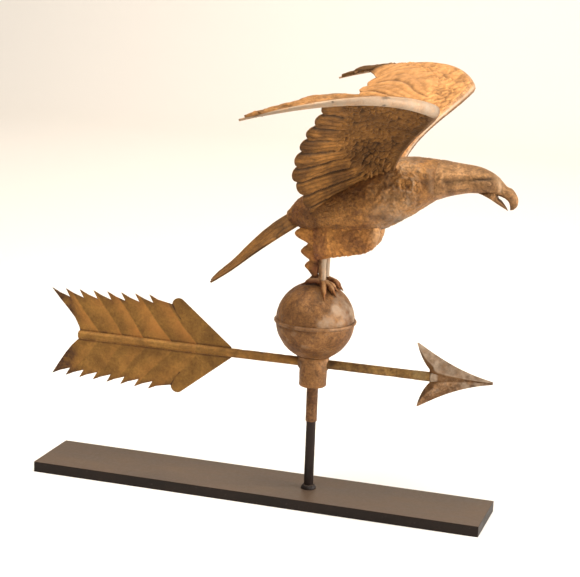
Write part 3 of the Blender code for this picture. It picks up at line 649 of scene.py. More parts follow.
# sections from rear to front: top and bottom point (x, z) and half width
BODY = [((-0.042, 0.387), (-0.036, 0.372), 0.010), ((-0.026, 0.406), (-0.018, 0.366), 0.023),
        ((0.002, 0.423), (0.008, 0.364), 0.034), ((0.034, 0.440), (0.036, 0.364), 0.041),
        ((0.066, 0.455), (0.066, 0.367), 0.043), ((0.096, 0.466), (0.098, 0.381), 0.040),
        ((0.124, 0.470), (0.126, 0.399), 0.034), ((0.152, 0.469), (0.150, 0.415), 0.0265)]
HEAD = [((0.144, 0.4665), (0.143, 0.4135), 0.0258), ((0.157, 0.4685), (0.155, 0.4180), 0.0252),
        ((0.170, 0.4668), (0.168, 0.4230), 0.0215),
        ((0.183, 0.4655), (0.181, 0.4265), 0.0190), ((0.196, 0.4643), (0.193, 0.4290), 0.0178),
        ((0.207, 0.4622), (0.2035, 0.4296), 0.0176), ((0.217, 0.4582), (0.212, 0.4292), 0.0168),
        ((0.2254, 0.4535), (0.2215, 0.4290), 0.0140), ((0.2325, 0.4472), (0.2282, 0.4284), 0.0108),
        ((0.2385, 0.4412), (0.2330, 0.4271), 0.0092), ((0.2450, 0.4386), (0.2375, 0.4250), 0.0084),
        ((0.2502, 0.4328), (0.2412, 0.4218), 0.0070), ((0.2535, 0.4255), (0.2428, 0.4180), 0.0056),
        ((0.2528, 0.4172), (0.2434, 0.4145), 0.0040), ((0.2485, 0.4127), (0.2438, 0.4116), 0.0020)]
JAW = [((0.1980, 0.4340), (0.1970, 0.4308), 0.0060), ((0.2085, 0.4330), (0.2060, 0.4290), 0.0090),
       ((0.2145, 0.4300), (0.2130, 0.4268), 0.0110),
       ((0.2215, 0.4284), (0.2195, 0.4233), 0.0110), ((0.2275, 0.4268), (0.2255, 0.4193), 0.0088),
       ((0.2335, 0.4228), (0.2310, 0.4159), 0.0064), ((0.2385, 0.4165), (0.2368, 0.4127), 0.0038),
       ((0.2412, 0.4112), (0.2409, 0.4106), 0.0010)]
THIGH = [((0.083, 0.384), (0.083, 0.365), 0.006), ((0.078, 0.390), (0.0778, 0.3525), 0.0105),
         ((0.065, 0.394), (0.0645, 0.3432), 0.0125), ((0.050, 0.396), (0.0495, 0.3398), 0.013),
         ((0.034, 0.395), (0.0335, 0.3365), 0.013), ((0.018, 0.391), (0.0175, 0.3330), 0.0125),
         ((0.006, 0.385), (0.005, 0.3300), 0.0105), ((-0.002, 0.378), (0.000, 0.336), 0.006)]
NECK_FOLD = [(0.140, 0.462), (0.1455, 0.452), (0.1475, 0.440), (0.1480, 0.425)]
# lines modelled in the face: (x, z) points, then width and height in mm, with grooves below 0
FACE_LINES = [
    ([(0.156, 0.4440), (0.172, 0.4450), (0.192, 0.4475), (0.210, 0.4505), (0.2235, 0.4522)], 3.0, -1.2),
    ([(0.196, 0.4490), (0.212, 0.4508), (0.2240, 0.4518)], 2.0, -0.9),
    ([(0.160, 0.4510), (0.180, 0.4520), (0.200, 0.4545), (0.216, 0.4565), (0.2255, 0.4560)], 3.2, 0.9),
    ([(0.163, 0.4375), (0.182, 0.4390), (0.202, 0.4410), (0.2120, 0.4420)], 4.2, 0.7),
    ([(0.160, 0.4335), (0.172, 0.4330), (0.190, 0.4345)], 1.8, -0.7),
    ([(0.1560, 0.4620), (0.1600, 0.4540), (0.1590, 0.4450), (0.1630, 0.4370), (0.1625, 0.4290)], 2.4, 1.1),
    ([(0.2085, 0.4470), (0.2075, 0.4420), (0.2100, 0.4365), (0.2165, 0.4318)], 1.7, -0.7),
    ([(0.2262, 0.4590), (0.2288, 0.4510), (0.2300, 0.4420), (0.2275, 0.4330)], 2.6, 0.8),
    ([(0.2312, 0.4500), (0.2335, 0.4420), (0.2325, 0.4340)], 1.4, -0.7),
    ([(0.2200, 0.4325), (0.2262, 0.4308), (0.2330, 0.4295), (0.2400, 0.4262)], 1.1, -1.1)]
NOSTRIL, EYE = (0.2362, 0.4360), (0.2175, 0.4450)


def oval_rings(sections, rows, turn, y=0.0):
    """Rings of ovals between a top and a bottom line, at angles turn from the top."""
    place = np.linspace(0, 1, rows)
    top = spline([(a[0], y, a[1]) for a, _, _ in sections], place)
    low = spline([(b[0], y, b[1]) for _, b, _ in sections], place)
    half = spline([(h, 0, 0) for _, _, h in sections], place)[:, 0]
    centre, arm = (top + low) / 2, (top - low) / 2
    ring = centre[:, None] + np.cos(turn)[None, :, None] * arm[:, None]
    ring[..., 1] += half[:, None] * np.sin(turn)[None]
    return ring, centre


def outward(grid, centre, wrap):
    n = normals(grid, wrap)
    return n * np.sign(((grid - centre[:, None]) * n).sum(-1, keepdims=True) + 1e-12)


def make_body():
    """The two halves of the body, seamed along the middle, with ruffled plumage and a fold at the neck."""
    rows, cols = 300, 150
    turn = np.linspace(0, math.pi, cols)
    ring, centre = oval_rings(BODY, rows, turn)
    x, z = ring[..., 0], ring[..., 2]
    cell = (5.6 + 2.8 * step(0.05, 0.115, x[:, cols // 2])) * MM
    a = np.cumsum(np.gradient(x[:, cols // 2]) / cell)[:, None]
    arc = np.cumsum(np.linalg.norm(np.diff(ring, axis=1, prepend=ring[:, :1]), axis=-1), axis=1)
    b = 1.3 * arc / cell[:, None]
    n = outward(ring, centre, False)
    share = (turn / math.pi)[None]
    for side, tag, seed in ((1, "left", 70), (-1, "right", 90)):
        place = ring + [0, 0.3 * side, 0]
        rough, fine = fbm(place, 75, 4, seed), fbm(place, 230, 2, seed + 7)
        warp_a, warp_b = (0.9 * fbm(place, 55, 3, seed + k) for k in (1, 2))
        shoulder = np.exp(-(((x - 0.117) / 0.024) ** 2 + ((z - 0.440) / 0.024) ** 2))
        plume = curls(a + warp_a, b + warp_b, seed + 3)
        little = scrolls(a * 1.25 + warp_b, b * 1.25 - warp_a, seed + 4)
        front = step(0.03, 0.10, x) * (1 - step(0.128, 0.146, x))
        rear = 1 - step(0.03, 0.10, x)
        folds = 1 - 3.2 * np.abs(fbm(place, 62, 3, seed + 9))
        crimp = 1 - 3.2 * np.abs(fbm(place, 125, 2, seed + 11))
        h = shoulder * (0.75 * folds + 0.45 * plume + 0.25 * crimp) + rear * (0.30 * little + 0.22 * crimp) \
            + front * (1 - shoulder) * (0.40 * folds + 0.20 * plume + 0.22 * crimp)
        back = bell(share, 0.16)
        h = h * (1 - 0.5 * back) + 0.30 * rough + 0.08 * fine
        # a fold of skin and feathers round the base of the neck
        fold_d, fold_at = line_distance(x, z, NECK_FOLD)
        fold = bell(fold_d, 2.6 * MM) * step(0, 0.15, fold_at) * (1 - step(0.8, 1.0, fold_at))
        seam = step(0.0, 0.035, share) * step(0.0, 0.035, 1 - share)
        neck = step(0.140, 0.151, x)
        lift = (1.9 * h * seam - 0.5) * step(0.0, 0.04, np.linspace(0, 1, rows))[:, None]
        lift = lift * (1 - 0.75 * neck) + 0.8 * fold * (0.7 + 0.6 * rough) - 0.5 * neck
        skinned = ring + n * (lift * MM)[..., None]
        skinned[..., 1] = side * np.maximum(skinned[..., 1], 0.15 * MM)
        rump = 1 - step(-0.030, 0.004, x)
        under_wing = bell(share - 0.30, 0.07) * (1 - step(0.07, 0.10, x)) * step(-0.01, 0.02, x)
        breast = step(0.06, 0.11, x) * (1 - shoulder) * (1 - 0.8 * step(0.120, 0.142, x))
        # the raised shoulder plumes are paler: rubbed high places with a painted highlight
        worn = 0.10 + (0.50 + 0.6 * rough) * breast + 0.2 * fold + 0.45 * shoulder * step(0.5, 1.0, h)
        # darker on the rump, under the wing and low on the rear of the body
        rust = 0.75 * rump * (0.7 + rough) + 0.35 * under_wing
        rust = rust + 0.25 * step(0.6, 1.0, share) * (1 - step(0.05, 0.12, x))
        tint = tints(x.shape, 0.50 + 0.30 * h + 0.12 * fine, worn, rust)
        piece(f"body_{tag}_plumage", closed_loft(pose(skinned), tint), f"body_{tag}", BODY_COPPER)


def line_distance(x, z, points):
    """Distance in the XZ plane to a broken line, and how far along it the nearest place is (0 to 1)."""
    best, at = np.full(x.shape, 9.0), np.zeros(x.shape)
    count = len(points) - 1
    for i, (p, q) in enumerate(zip(points, points[1:])):
        dx, dz = q[0] - p[0], q[1] - p[1]
        s = np.clip(((x - p[0]) * dx + (z - p[1]) * dz) / (dx * dx + dz * dz), 0, 1)
        d = np.hypot(x - p[0] - s * dx, z - p[1] - s * dz)
        hit = d < best
        best, at = np.where(hit, d, best), np.where(hit, (i + s) / count, at)
    return best, at


def make_head():
    """Neck, head and upper beak in one casting."""
    rows, cols = 260, 140
    turn = circle(cols)
    ring, centre = oval_rings(HEAD, rows, turn)
    x, z = ring[..., 0], ring[..., 2]
    flank = np.abs(np.sin(turn))[None] ** 0.7 * np.ones_like(x)

    h = 0
    for points, width, depth in FACE_LINES:
        d, at = line_distance(x, z, points)
        h = h + depth * bell(d, width * MM) * step(0, 0.08, at) * (1 - 0.6 * step(0.9, 1.0, at))
    nostril = np.hypot(x - NOSTRIL[0], (z - NOSTRIL[1]) * 1.4)
    h -= 0.8 * bell(nostril, 1.2 * MM)
    eye = np.hypot(x - EYE[0], (z - EYE[1]) * 1.15)
    ball = np.sqrt(np.clip(1 - (eye / (3.0 * MM)) ** 2, 0, 1))
    rim = bell(eye - 3.7 * MM, 0.9 * MM)
    h = h * (1 - ball) + 0.6 * ball - 0.55 * rim

    rough = fbm(ring, 70, 4, 111)
    neck = 1 - step(0.196, 0.212, x)
    strokes = neck * np.sin(2 * math.pi * (turn[None] * 5.2 + 1.2 * fbm(ring, 40, 2, 114))) \
        * (0.5 + 0.5 * value_noise(ring * [60, 20, 20], 1.0, 116))
    crown = step(0.6, 1.0, np.cos(turn))[None]
    lift = flank * h * (1 - 0.4 * crown) + 0.18 * rough + 0.16 * strokes
    tip = step(0.0, 0.06, 1 - np.linspace(0, 1, rows))[:, None]
    lift = (lift - 0.25) * tip
    skinned = ring + outward(ring, centre, True) * (lift * MM)[..., None]
    fine = fbm(ring, 260, 2, 118)
    cere = line_distance(x, z, [(0.224, 0.457), (0.230, 0.446), (0.232, 0.437)])[0]
    # painted shade in the grooves of the face, deepest under the brow, and a painted highlight on its ridges
    relief = 0.50 + 0.26 * (h - 0.8 * ball) * flank + 0.12 * strokes + 0.14 * rough + 0.10 * fine
    worn = 0.10 + 0.5 * bell(cere, 3 * MM) + 0.15 * step(0.1, 0.6, rough)
    # darker along the underside of the neck and head
    tint = tints(x.shape, relief, worn, 0.25 * step(0.5, 0.95, -np.cos(turn))[None])
    piece("head_and_neck", closed_loft(pose(skinned), tint), "head", NECK_COPPER)


def make_jaw():
    """Lower beak, troughed along the top."""
    turn = circle(48)
    ring, centre = oval_rings(JAW, 80, turn)
    trough = np.clip(np.cos(turn), 0, 1)[None] ** 3 * 0.8 * MM
    edge = bell(turn - 1.25, 0.22) + bell(turn - math.tau + 1.25, 0.22)
    rough = fbm(ring, 180, 3, 121)
    lift = (0.2 * rough + 0.35 * edge[None] - 0.3) * MM
    lift = lift * step(0, 0.1, 1 - np.linspace(0, 1, 80))[:, None]
    skinned = ring + outward(ring, centre, True) * lift[..., None]
    skinned[..., 2] -= trough
    # the root of the jaw runs up into the cheeks
    jx, jy = skinned[..., 0], np.abs(skinned[..., 1])
    low = np.interp(jx, [0.2035, 0.212, 0.2215, 0.2282], [0.4296, 0.4292, 0.4290, 0.4284])
    high = np.interp(jx, [0.207, 0.217, 0.2254, 0.2325], [0.4622, 0.4582, 0.4535, 0.4472])
    half = np.interp(jx, [0.205, 0.2145, 0.2235, 0.230], [0.0176, 0.0168, 0.0140, 0.0108])
    cheek = (low + high) / 2 - (high - low) / 2 * np.sqrt(np.clip(1 - (jy / half) ** 2, 0, 1)) + 0.6 * MM
    weld = (1 - step(0.2245, 0.2285, jx)) * (np.cos(turn) > 0.05)[None]
    skinned[..., 2] += weld * np.maximum(cheek - skinned[..., 2], 0)
    guide = tints(ring.shape[:2], 0.5 + 0.2 * rough + 0.2 * edge[None], 0.1)
    piece("lower_beak_trough", closed_loft(pose(skinned), guide), "lower_beak", NECK_COPPER)


def make_tail():
    """Fan of nine feathers that slopes down and back, highest along the middle."""
    ridge = [(-0.030, 0, 0.391), (-0.060, 0, 0.370), (-0.088, 0, 0.343), (-0.112, 0, 0.317),
             (-0.137, 0, 0.294)]
    edge = [(-0.022, 0.009, 0.3755), (-0.048, 0.020, 0.3570), (-0.075, 0.030, 0.3365),
            (-0.105, 0.040, 0.3120), (-0.131, 0.045, 0.2935)]
    rows, cols, count = 260, 150, 9
    s = np.linspace(-1, 1, rows)[:, None]
    feather = (s + 1) / 2 * count
    k = np.minimum(np.floor(feather), count - 1)
    t = feather - k - 0.5
    v = np.linspace(0, 1, cols)[None]
    vv = v * (1 - 0.05 * (1 - np.sqrt(np.clip(1 - (2 * t) ** 2, 0, 1))))
    middle, outer = spline(ridge, vv), spline(edge, vv)
    point = middle + (outer - middle) * (s * s)[..., None]
    point[..., 1] = s * outer[..., 1]
    thick = (1.6 + 6.5 * (1 - vv) * (1 - 0.8 * s * s)) * MM
    rough = fbm(point, 80, 3, 131)
    h = flight_feathers(np.broadcast_to(k, vv.shape), t * np.ones_like(vv), vv, 7) * 0.9
    lap = scales((1 - vv) * 5.0 + 0.35 * np.abs(s), feather + 0.5, 133) * (1 - step(0.30, 0.46, vv))
    h = h * step(0.28, 0.42, vv) + 0.9 * lap + 0.18 * rough
    fade = (1 - 0.6 * step(0.93, 1.0, vv)) * step(0, 0.03, 1 - np.abs(s))
    up = np.array([-0.65, 0, 0.76])
    top = point + up * (0.75 * MM * h * fade - 0.2 * MM)[..., None]
    low = point - up * (thick + 0.45 * MM * h * fade)[..., None]
    strip = bell(s - 0.02, 0.10) * (0.5 + 0.4 * rough)
    dark = 0.45 * (1 - step(0.05, 0.4, vv)) + 0.3 * step(0.9, 1, vv)
    tint = tints(vv.shape, 0.42 + 0.36 * h, 0.30 * strip, dark)
    piece("tail_fan", skin(pose(top), pose(low), tint), "tail", WING_COPPER)


def make_thigh(side, tag, seed):
    rows, cols = 150, 110
    turn = circle(cols)
    ring, centre = oval_rings(THIGH, rows, turn, side * THIGH_Y)
    x, z = ring[..., 0], ring[..., 2]
    rough = fbm(ring, 85, 3, seed)
    slant = (z * 0.9 + x * 0.45) / (4.2 * MM) + 0.8 * rough
    hatch = np.abs(np.sin(slant * math.pi)) ** 0.6
    tuft = curls((x + 0.2 * z) / (7.5 * MM) + 0.7 * rough,
                 (z - 0.3 * x) / (6 * MM) + 0.7 * fbm(ring, 60, 3, seed + 3), seed + 2)
    h = 0.20 * hatch + 0.70 * tuft + 0.30 * rough
    skinned = ring + outward(ring, centre, True) * ((0.9 * h - 0.3) * MM)[..., None]
    # the front of the thigh is painted paler as a highlight on its rounded front edge; the rear and the lower
    # edge are darker
    pale = step(0.068, 0.084, x) * 0.5
    stain = (1 - step(0.002, 0.018, x)) * (0.85 + 0.5 * rough) + 0.20 * (1 - step(0.335, 0.345, z))
    guide = tints(x.shape, 0.42 + 0.36 * h, pale + 0.08, stain)
    piece(f"thigh_{tag}_plumage", closed_loft(pose(skinned), guide), f"thigh_{tag}", LEG_COPPER)


def make_fringe(side, tag, seed):
    """Three pointed tufts of feathers down the back of the leg."""
    front = [(0.010, 0.376), (0.008, 0.352), (0.0036, 0.334), (0.0036, 0.320), (0.0034, 0.3056)]
    points = [(-0.004, 0.3712), (-0.0215, 0.3680), (-0.0285, 0.3620), (-0.0250, 0.3560), (-0.0110, 0.3488),
              (-0.0165, 0.3436), (-0.0200, 0.3378), (-0.0155, 0.3326), (-0.0082, 0.3274), (-0.0118, 0.3236),
              (-0.0140, 0.3188), (-0.0095, 0.3140), (-0.0030, 0.3060)]
    rows, cols = 170, 60
    s, w = np.linspace(0, 1, rows), np.linspace(0, 1, cols)
    inner = spline([(a, 0, b) for a, b in front], s)
    outer = spline([(a, 0, b) for a, b in points], s)
    sheet = inner[:, None] + (outer - inner)[:, None] * w[None, :, None]
    lobe = s * 3.0
    phase = np.where(lobe < 1.15, lobe / 1.15, np.where(lobe < 2.1, (lobe - 1.15) / 0.95, (lobe - 2.1) / 0.9))
    comb = np.sin(math.pi * phase)[:, None]
    barb = np.sin(lobe[:, None] * 30 + w[None] * 9) * 0.22 * w[None]
    rough = fbm(sheet, 120, 3, seed + 4)
    bulge = (1 - w[None] ** 3) * np.clip(comb, 0, 1) ** 0.6
    h = 1.7 * bulge + barb + 0.5 * rough
    fade = np.clip(1 - w[None] ** 6, 0, 1) * step(0, 0.05, s)[:, None] * step(0, 0.05, 1 - s)[:, None]
    halves = []
    for face in (1, -1):
        grid = sheet.copy()
        grid[..., 1] = side * 10 * MM + face * (0.9 + (1.5 * h if face == side else 0.5 * h) * fade) * MM
        halves.append(pose(grid))
    tint = tints(sheet.shape[:2], 0.46 + 0.14 * h - 0.25 * (1 - np.clip(comb, 0, 1)), 0.05,
                 0.9 * (1 - step(0.15, 0.5, w[None])) + 0.15 * rough)
    piece(f"leg_fringe_{tag}_tufts", skin(*halves, tint), f"leg_fringe_{tag}", LEG_COPPER)


def make_shank(side, tag, seed):
    foot = np.array([ANKLE_X, side * ANKLE_Y, 0.3030])
    knee = np.array([ANKLE_X + MM, side * 11.5 * MM, 0.3400])
    s = np.linspace(0, 1, 90)
    path = foot + (knee - foot) * s[:, None]
    ring, turn = tube(path, 4.7 * MM + 0.6 * MM * s**2 + 0.9 * MM * (1 - s) ** 4, 40)
    scute = np.abs(np.sin(s * 24))[:, None] ** 0.5 * (0.6 + 0.4 * np.cos(turn - 1.0))[None]
    flute = np.cos(3 * turn)[None] * 0.5
    rough = fbm(ring, 150, 3, seed + 6)
    ring = swell(ring, path, (0.25 * scute + 0.4 * flute + 0.3 * rough - 0.3) * MM)
    # the rear of the shank is painted dark as shade; the front keeps its pale grey colour
    rear = np.clip((foot[0] + 2.5 * MM - ring[..., 0]) / (4 * MM), 0, 1)
    guide = tints(ring.shape[:2], 0.55 + 0.2 * scute + 0.15 * rough, 1.15 - 1.5 * rear + 0.5 * rough, rear)
    piece(f"shank_{tag}_scaled", closed_loft(pose(ring), guide), f"shank_{tag}", EDGE_COPPER)


def make_foot(side, tag, seed):
    """Four knuckled toes with talons gripping the ball, joined in a lump at the ankle."""
    ankle = np.array([ANKLE_X, side * ANKLE_Y, 0])
    solids = []
    for k, (angle, length) in enumerate(((-68, 31), (-25, 27), (6, 23), (-176, 27))):
        s = np.linspace(0, 1, 70)
        angle = math.radians(angle * side * -1)
        ground = ankle + np.array([math.cos(angle), math.sin(angle), 0]) * (length * MM * s)[:, None]
        knuckle = 0.45 * MM * np.abs(np.sin(s * 9.5)) * (1 - step(0.62, 0.75, s))
        claw = step(0.64, 0.72, s)
        nail = 2.7 * MM * (1 - 0.86 * ((s - 0.66).clip(0) / 0.34))
        r = (4.0 - 1.2 * s) * MM * (1 - claw) + claw * nail + knuckle
        lift = BALL_R + 0.5 * MM + (3.6 - 2.6 * s**2) * MM
        lift = lift + 1.6 * MM * np.sin(math.pi * np.minimum(1, s * 1.3))
        around = np.linalg.norm(ground, axis=1) / BALL_R
        direction = unit(ground) * np.sin(around)[:, None] + np.array([0, 0, 1]) * np.cos(around)[:, None]
        path = BALL_CENTRE + direction * lift[:, None]
        ring, _ = tube(path, r, 26)
        rough = fbm(ring, 190, 3, seed + k)
        out = unit(path - BALL_CENTRE)[:, None]
        # painted light on the top of each toe, away from the ball, and painted shade below it; the talons are
        # not painted pale
        lit = np.clip(((ring - path[:, None]) * out).sum(-1) / r[:, None], 0, 1) ** 4
        ring = swell(ring, path, 0.22 * MM * rough)
        guide = tints(ring.shape[:2], 0.30 + 0.25 * rough + 300 * knuckle[:, None] + 0.25 * lit,
                      0.6 * lit * (1 - claw[:, None]) + 0.3 * rough, 1.0 - 0.6 * lit)
        solids.append(closed_loft(pose(ring), guide))
    s = np.linspace(0, math.pi, 30)
    around = np.linalg.norm(ankle) / BALL_R
    direction = unit(ankle) * math.sin(around) + np.array([0, 0, 1]) * math.cos(around)
    centre = BALL_CENTRE + direction * (BALL_R + 4.2 * MM)
    turn = circle(40)
    lump = np.stack([np.sin(s)[:, None] * np.cos(turn), np.sin(s)[:, None] * np.sin(turn),
                     np.cos(s)[:, None] * np.ones_like(turn)], -1)
    rough = fbm(lump, 2.2, 3, seed + 9)
    lump = centre + lump * np.array([5.6, 5.0, 3.9]) * MM * (1 + 0.12 * rough)[..., None]
    solids.append(closed_loft(pose(lump), tints(lump.shape[:2], 0.45 + 0.3 * rough, 0.35, 0.2)))
    piece(f"foot_{tag}_toes", join(*solids), f"foot_{tag}", LEG_COPPER)


for SIDE, TAG, TIPS, SEED in ((1, "left", LEFT_TIPS, 1), (-1, "right", RIGHT_TIPS, 2)):
    make_wing(SIDE, TAG, TIPS, SEED)
    make_wing_edge(SIDE, TAG, TIPS, SEED)
    for make_part in (make_thigh, make_fringe, make_shank, make_foot):
        make_part(SIDE, TAG, 140 + 20 * SIDE)
make_body()
make_head()
make_jaw()
make_tail()


# ------------------------------------------------------------------ ball, collar and bearing
def dents(p, cell, depth, seed):
    """Shallow round knocks scattered over a surface: 0 between them, down to -depth inside."""
    q = p / cell
    base = np.floor(q)
    low = np.zeros(p.shape[:-1])
    for dx in (-1, 0, 1):
        for dy in (-1, 0, 1):
            for dz in (-1, 0, 1):
                c = base + (dx, dy, dz)
                a = c[..., 0] * 17 + c[..., 2] * 131
                place = c + np.stack([rand(a, c[..., 1], seed + k) for k in (0, 1, 2)], -1)
                size = 0.22 + 0.38 * rand(a, c[..., 1], seed + 3)
                far = np.linalg.norm(q - place, axis=-1) / size
                low = np.minimum(low, -size * np.clip(1 - far * far, 0, 1) ** 2)
    return low / 0.6 * depth


def turned(radius, height, count, name, node, seed, knock, lump, bumps, window_highlight=False):
    """Closed copper shape turned about Z, knocked and lumpy; its profile runs from the top down."""
    turn = circle(count)
    ring = np.stack([radius[:, None] * np.cos(turn), radius[:, None] * np.sin(turn),
                     height[:, None] * np.ones(count)], -1)
    along = unit(np.gradient(np.stack([radius, height], -1), axis=0))
    away, rise = -along[:, 1:], along[:, :1]
    n = np.stack([away * np.cos(turn), away * np.sin(turn), rise * np.ones(count)], -1)
    knocks = dents(ring, 17 * MM, 1.0, seed)
    rough = fbm(ring, 60, 4, seed + 9)
    lift = knock * knocks + lump * np.minimum(rough, 0.2) - 0.05
    ring = ring + n * ((lift + bumps(ring)) * MM)[..., None]
    worn = 0.05 + 0.4 * step(0.25, 0.6, rough)
    if window_highlight:
        # painted highlight: the upper half of the ball is painted pale where it faces right, towards the
        # window lamp
        toward_window = (unit(ring - BALL_CENTRE) * [0.88, -0.40, 0.25]).sum(-1)
        painted_highlight = step(0.60, 1.10, toward_window + 0.9 * rough) * (ring[..., 2] > BALL_Z)
        worn = worn + painted_highlight * (0.75 + 1.2 * fbm(ring, 130, 3, seed + 12))
    guide = tints(rough.shape, 0.56 + 0.30 * knocks + 0.16 * rough, worn, 0.2 * step(0.2, 0.6, -rough))
    return piece(name, closed_loft(ring, guide), node, BALL_COPPER)


def seam(ring):
    """Shallow groove on each side of the ball's bead."""
    return -0.45 * bell(np.abs(ring[..., 2] - BALL_Z) - 3.4 * MM, 1.1 * MM)


def make_ball():
    gap = 0.15 * MM
    for name, node, first, sign, seed in (
            ("ball_upper_half", "ball_upper", 0.01, 1, 210),
            ("ball_lower_half", "ball_lower", math.asin(BORE_R / BALL_R), -1, 230)):
        a = np.linspace(first, math.pi / 2, 110)
        radius, height = BALL_R * np.sin(a), BALL_Z + sign * (gap + BALL_R * np.cos(a))
        if sign < 0:
            radius, height = radius[::-1], height[::-1]
        turned(radius, height, 240, name, node, seed, 0.8, 0.22, seam, window_highlight=True)


def make_bead():
    """Rolled bead over the seam between the ball's halves."""
    turn = circle(300)
    round_ = circle(20)
    low = fbm(flat(np.cos(turn), np.sin(turn))[:, None] * np.ones((1, 20, 1)), 5, 3, 251)
    bead = 2.55 * MM + 0.25 * MM * np.minimum(low, 0.3)
    radius = BALL_R - 0.1 * MM + bead * np.cos(round_)
    ring = np.stack([radius * np.cos(turn)[:, None], radius * np.sin(turn)[:, None],
                     BALL_Z + bead * np.sin(round_)], -1)
    # painted shade on the upper and lower flanks of the bead, where it meets the ball
    relief = 0.62 + 0.25 * low - 0.3 * np.abs(np.sin(round_)) ** 4
    guide = tints(ring.shape[:2], relief, 0.25 + 0.3 * low, 0.1)
    piece("ball_bead_rolled", (ring.reshape(-1, 3), np.vstack([quads(300, 20, True), wrap_row(300, 20)]),
                               guide.reshape(-1, 3)), "ball_bead", BALL_COPPER)


def wrap_row(rows, cols):
    """Faces that join the last row of a grid to its first."""
    j = np.arange(cols)
    k = (j + 1) % cols
    last = (rows - 1) * cols
    return np.stack([last + j, last + k, k, j], -1)


def make_collar():
    """Collar with a dished seat under the ball, a flare, a straight wall and a rounded foot."""
    flare_r, body_r, low = 23.0 * MM, 18.5 * MM, 156.5 * MM
    rim_z = BALL_Z - math.sqrt(SEAT_R**2 - flare_r**2)
    in_r = np.linspace(8.2 * MM, flare_r, 14)
    dish = np.stack([in_r, BALL_Z - np.sqrt(SEAT_R**2 - in_r**2) - 0.2 * MM], -1)
    t = np.linspace(0, math.pi / 2, 16)[1:]
    flare = np.stack([body_r + (flare_r - body_r) * (1 - np.sin(t)),
                      rim_z - 0.6 * MM - 5.4 * MM * (1 - np.cos(t))], -1)
    wall = np.linspace(flare[-1, 1], low + 3.0 * MM, 90)[1:]
    wall = np.stack([body_r - 0.25 * MM * bell(wall - low - 8 * MM, 5 * MM), wall], -1)
    a = np.radians(np.arange(10, 91, 10))
    foot = np.vstack([np.stack([body_r - 3 * MM + 3 * MM * np.cos(a), low + 3 * MM - 3 * MM * np.sin(a)], -1),
                      [(8.2 * MM, low)]])
    profile = np.vstack([dish, flare, wall, foot])

    def solder(ring):
        """Fillets of soft solder where the two halves of the shaft enter."""
        d = np.hypot(ring[..., 1], ring[..., 2] - SHAFT_Z)
        rim = bell(np.clip(d - 6.4 * MM, 0, 1), 2.4 * MM)
        face = step(4 * MM, 12 * MM, np.abs(ring[..., 0]))
        return rim * face * (2.4 + 1.0 * fbm(ring, 160, 3, 261)) - 0.25

    mesh = turned(profile[:, 0], profile[:, 1], 180, "collar_soldered", "collar", 265, 0.5, 0.25, solder).data
    # the solder round the sockets is pale
    p = np.empty(len(mesh.vertices) * 3)
    mesh.vertices.foreach_get("co", p)
    p = p.reshape(-1, 3)
    near = np.hypot(p[:, 1], p[:, 2] - SHAFT_Z)
    layer = mesh.attributes["tint"]
    c = np.empty(len(p) * 4)
    layer.data.foreach_get("color", c)
    c = c.reshape(-1, 4)
    front = np.where(p[:, 0] > 0, 1.0, 0.45)
    pale = bell(near, 9.5 * MM) * front * (0.7 + 0.6 * fbm(p, 90, 2, 267))
    c[:, 1] = np.maximum(c[:, 1], pale)
    layer.data.foreach_set("color", c.ravel())


# ------------------------------------------------------------------ the arrow
def make_shafts():
    """The two lengths of tube, with a ferrule and grey solder behind the arrowhead."""
    for node, x0, x1, seed, material in (("arrow_shaft_front", 10 * MM, 157.0 * MM, 301, SHAFT_COPPER),
                                         ("arrow_shaft_rear", -335.4 * MM, -10 * MM, 311, FLETCH_COPPER)):
        rows = int((x1 - x0) / (1.0 * MM))
        x = np.linspace(x0, x1, rows)
        path = np.stack([x, 0 * x, np.full(rows, SHAFT_Z)], -1)
        lag = fbm(path, 11, 2, seed)
        path[:, 1] += 0.15 * MM * lag
        ferrule = step(136 * MM, 137 * MM, x) * 0.25
        radius = (6.02 + 0.12 * lag + ferrule - 0.5 * bell(x - x0, 0.8 * MM)
                  - 0.5 * bell(x - x1, 0.8 * MM)) * MM
        ring, _ = tube(path, radius, 36)
        knocks = dents(ring, 15 * MM, 1.0, seed + 1)
        rough = fbm(ring, 110, 3, seed + 5)
        ring = swell(ring, path, (0.45 * knocks + 0.10 * rough) * MM)
        soldered = step(134 * MM, 137 * MM, x)
        grey = 0.35 * soldered * (1 - step(150 * MM, 157 * MM, x)) + 0.15
        guide = tints(rough.shape, 0.58 + 0.3 * knocks + 0.15 * rough - 0.12 * soldered[:, None],
                      grey[:, None] * (0.6 + 0.8 * rough), 0.10)
        piece(node + "_tube", closed_loft(ring, guide), node, material)


def blade_edge(count, side):
    """Long edge of a blade out from the shaft: eight slanting teeth, then the round lobe; and tooth phase."""
    points, phase = [], []
    for k in range(8):
        x, h = -376 + 20.4 * k, 60.6 + side + 0.75 * k
        points += [(x, h), (x + 12, h - 5.6)]
        phase += [k, k + 0.5]
        if k < 7:
            points.append((x + 26.8, h - 10.5))
            phase.append(k + 0.999)
    a = np.radians(np.linspace(180, 45, 13))
    points += [(-190.5 + 9.4 * math.cos(t), 56.0 + side + 9.4 * math.sin(t)) for t in a]
    phase += [8.0 + 0.03 * i for i in range(13)]
    points, phase = np.array(points) * MM, np.array(phase)
    run = np.r_[0, np.cumsum(np.linalg.norm(np.diff(points, axis=0), axis=1))]
    at = np.unique(np.concatenate([np.linspace(0, run[-1], count), run]))
    return np.stack([np.interp(at, run, points[:, i]) for i in (0, 1)], -1), np.interp(at, run, phase)


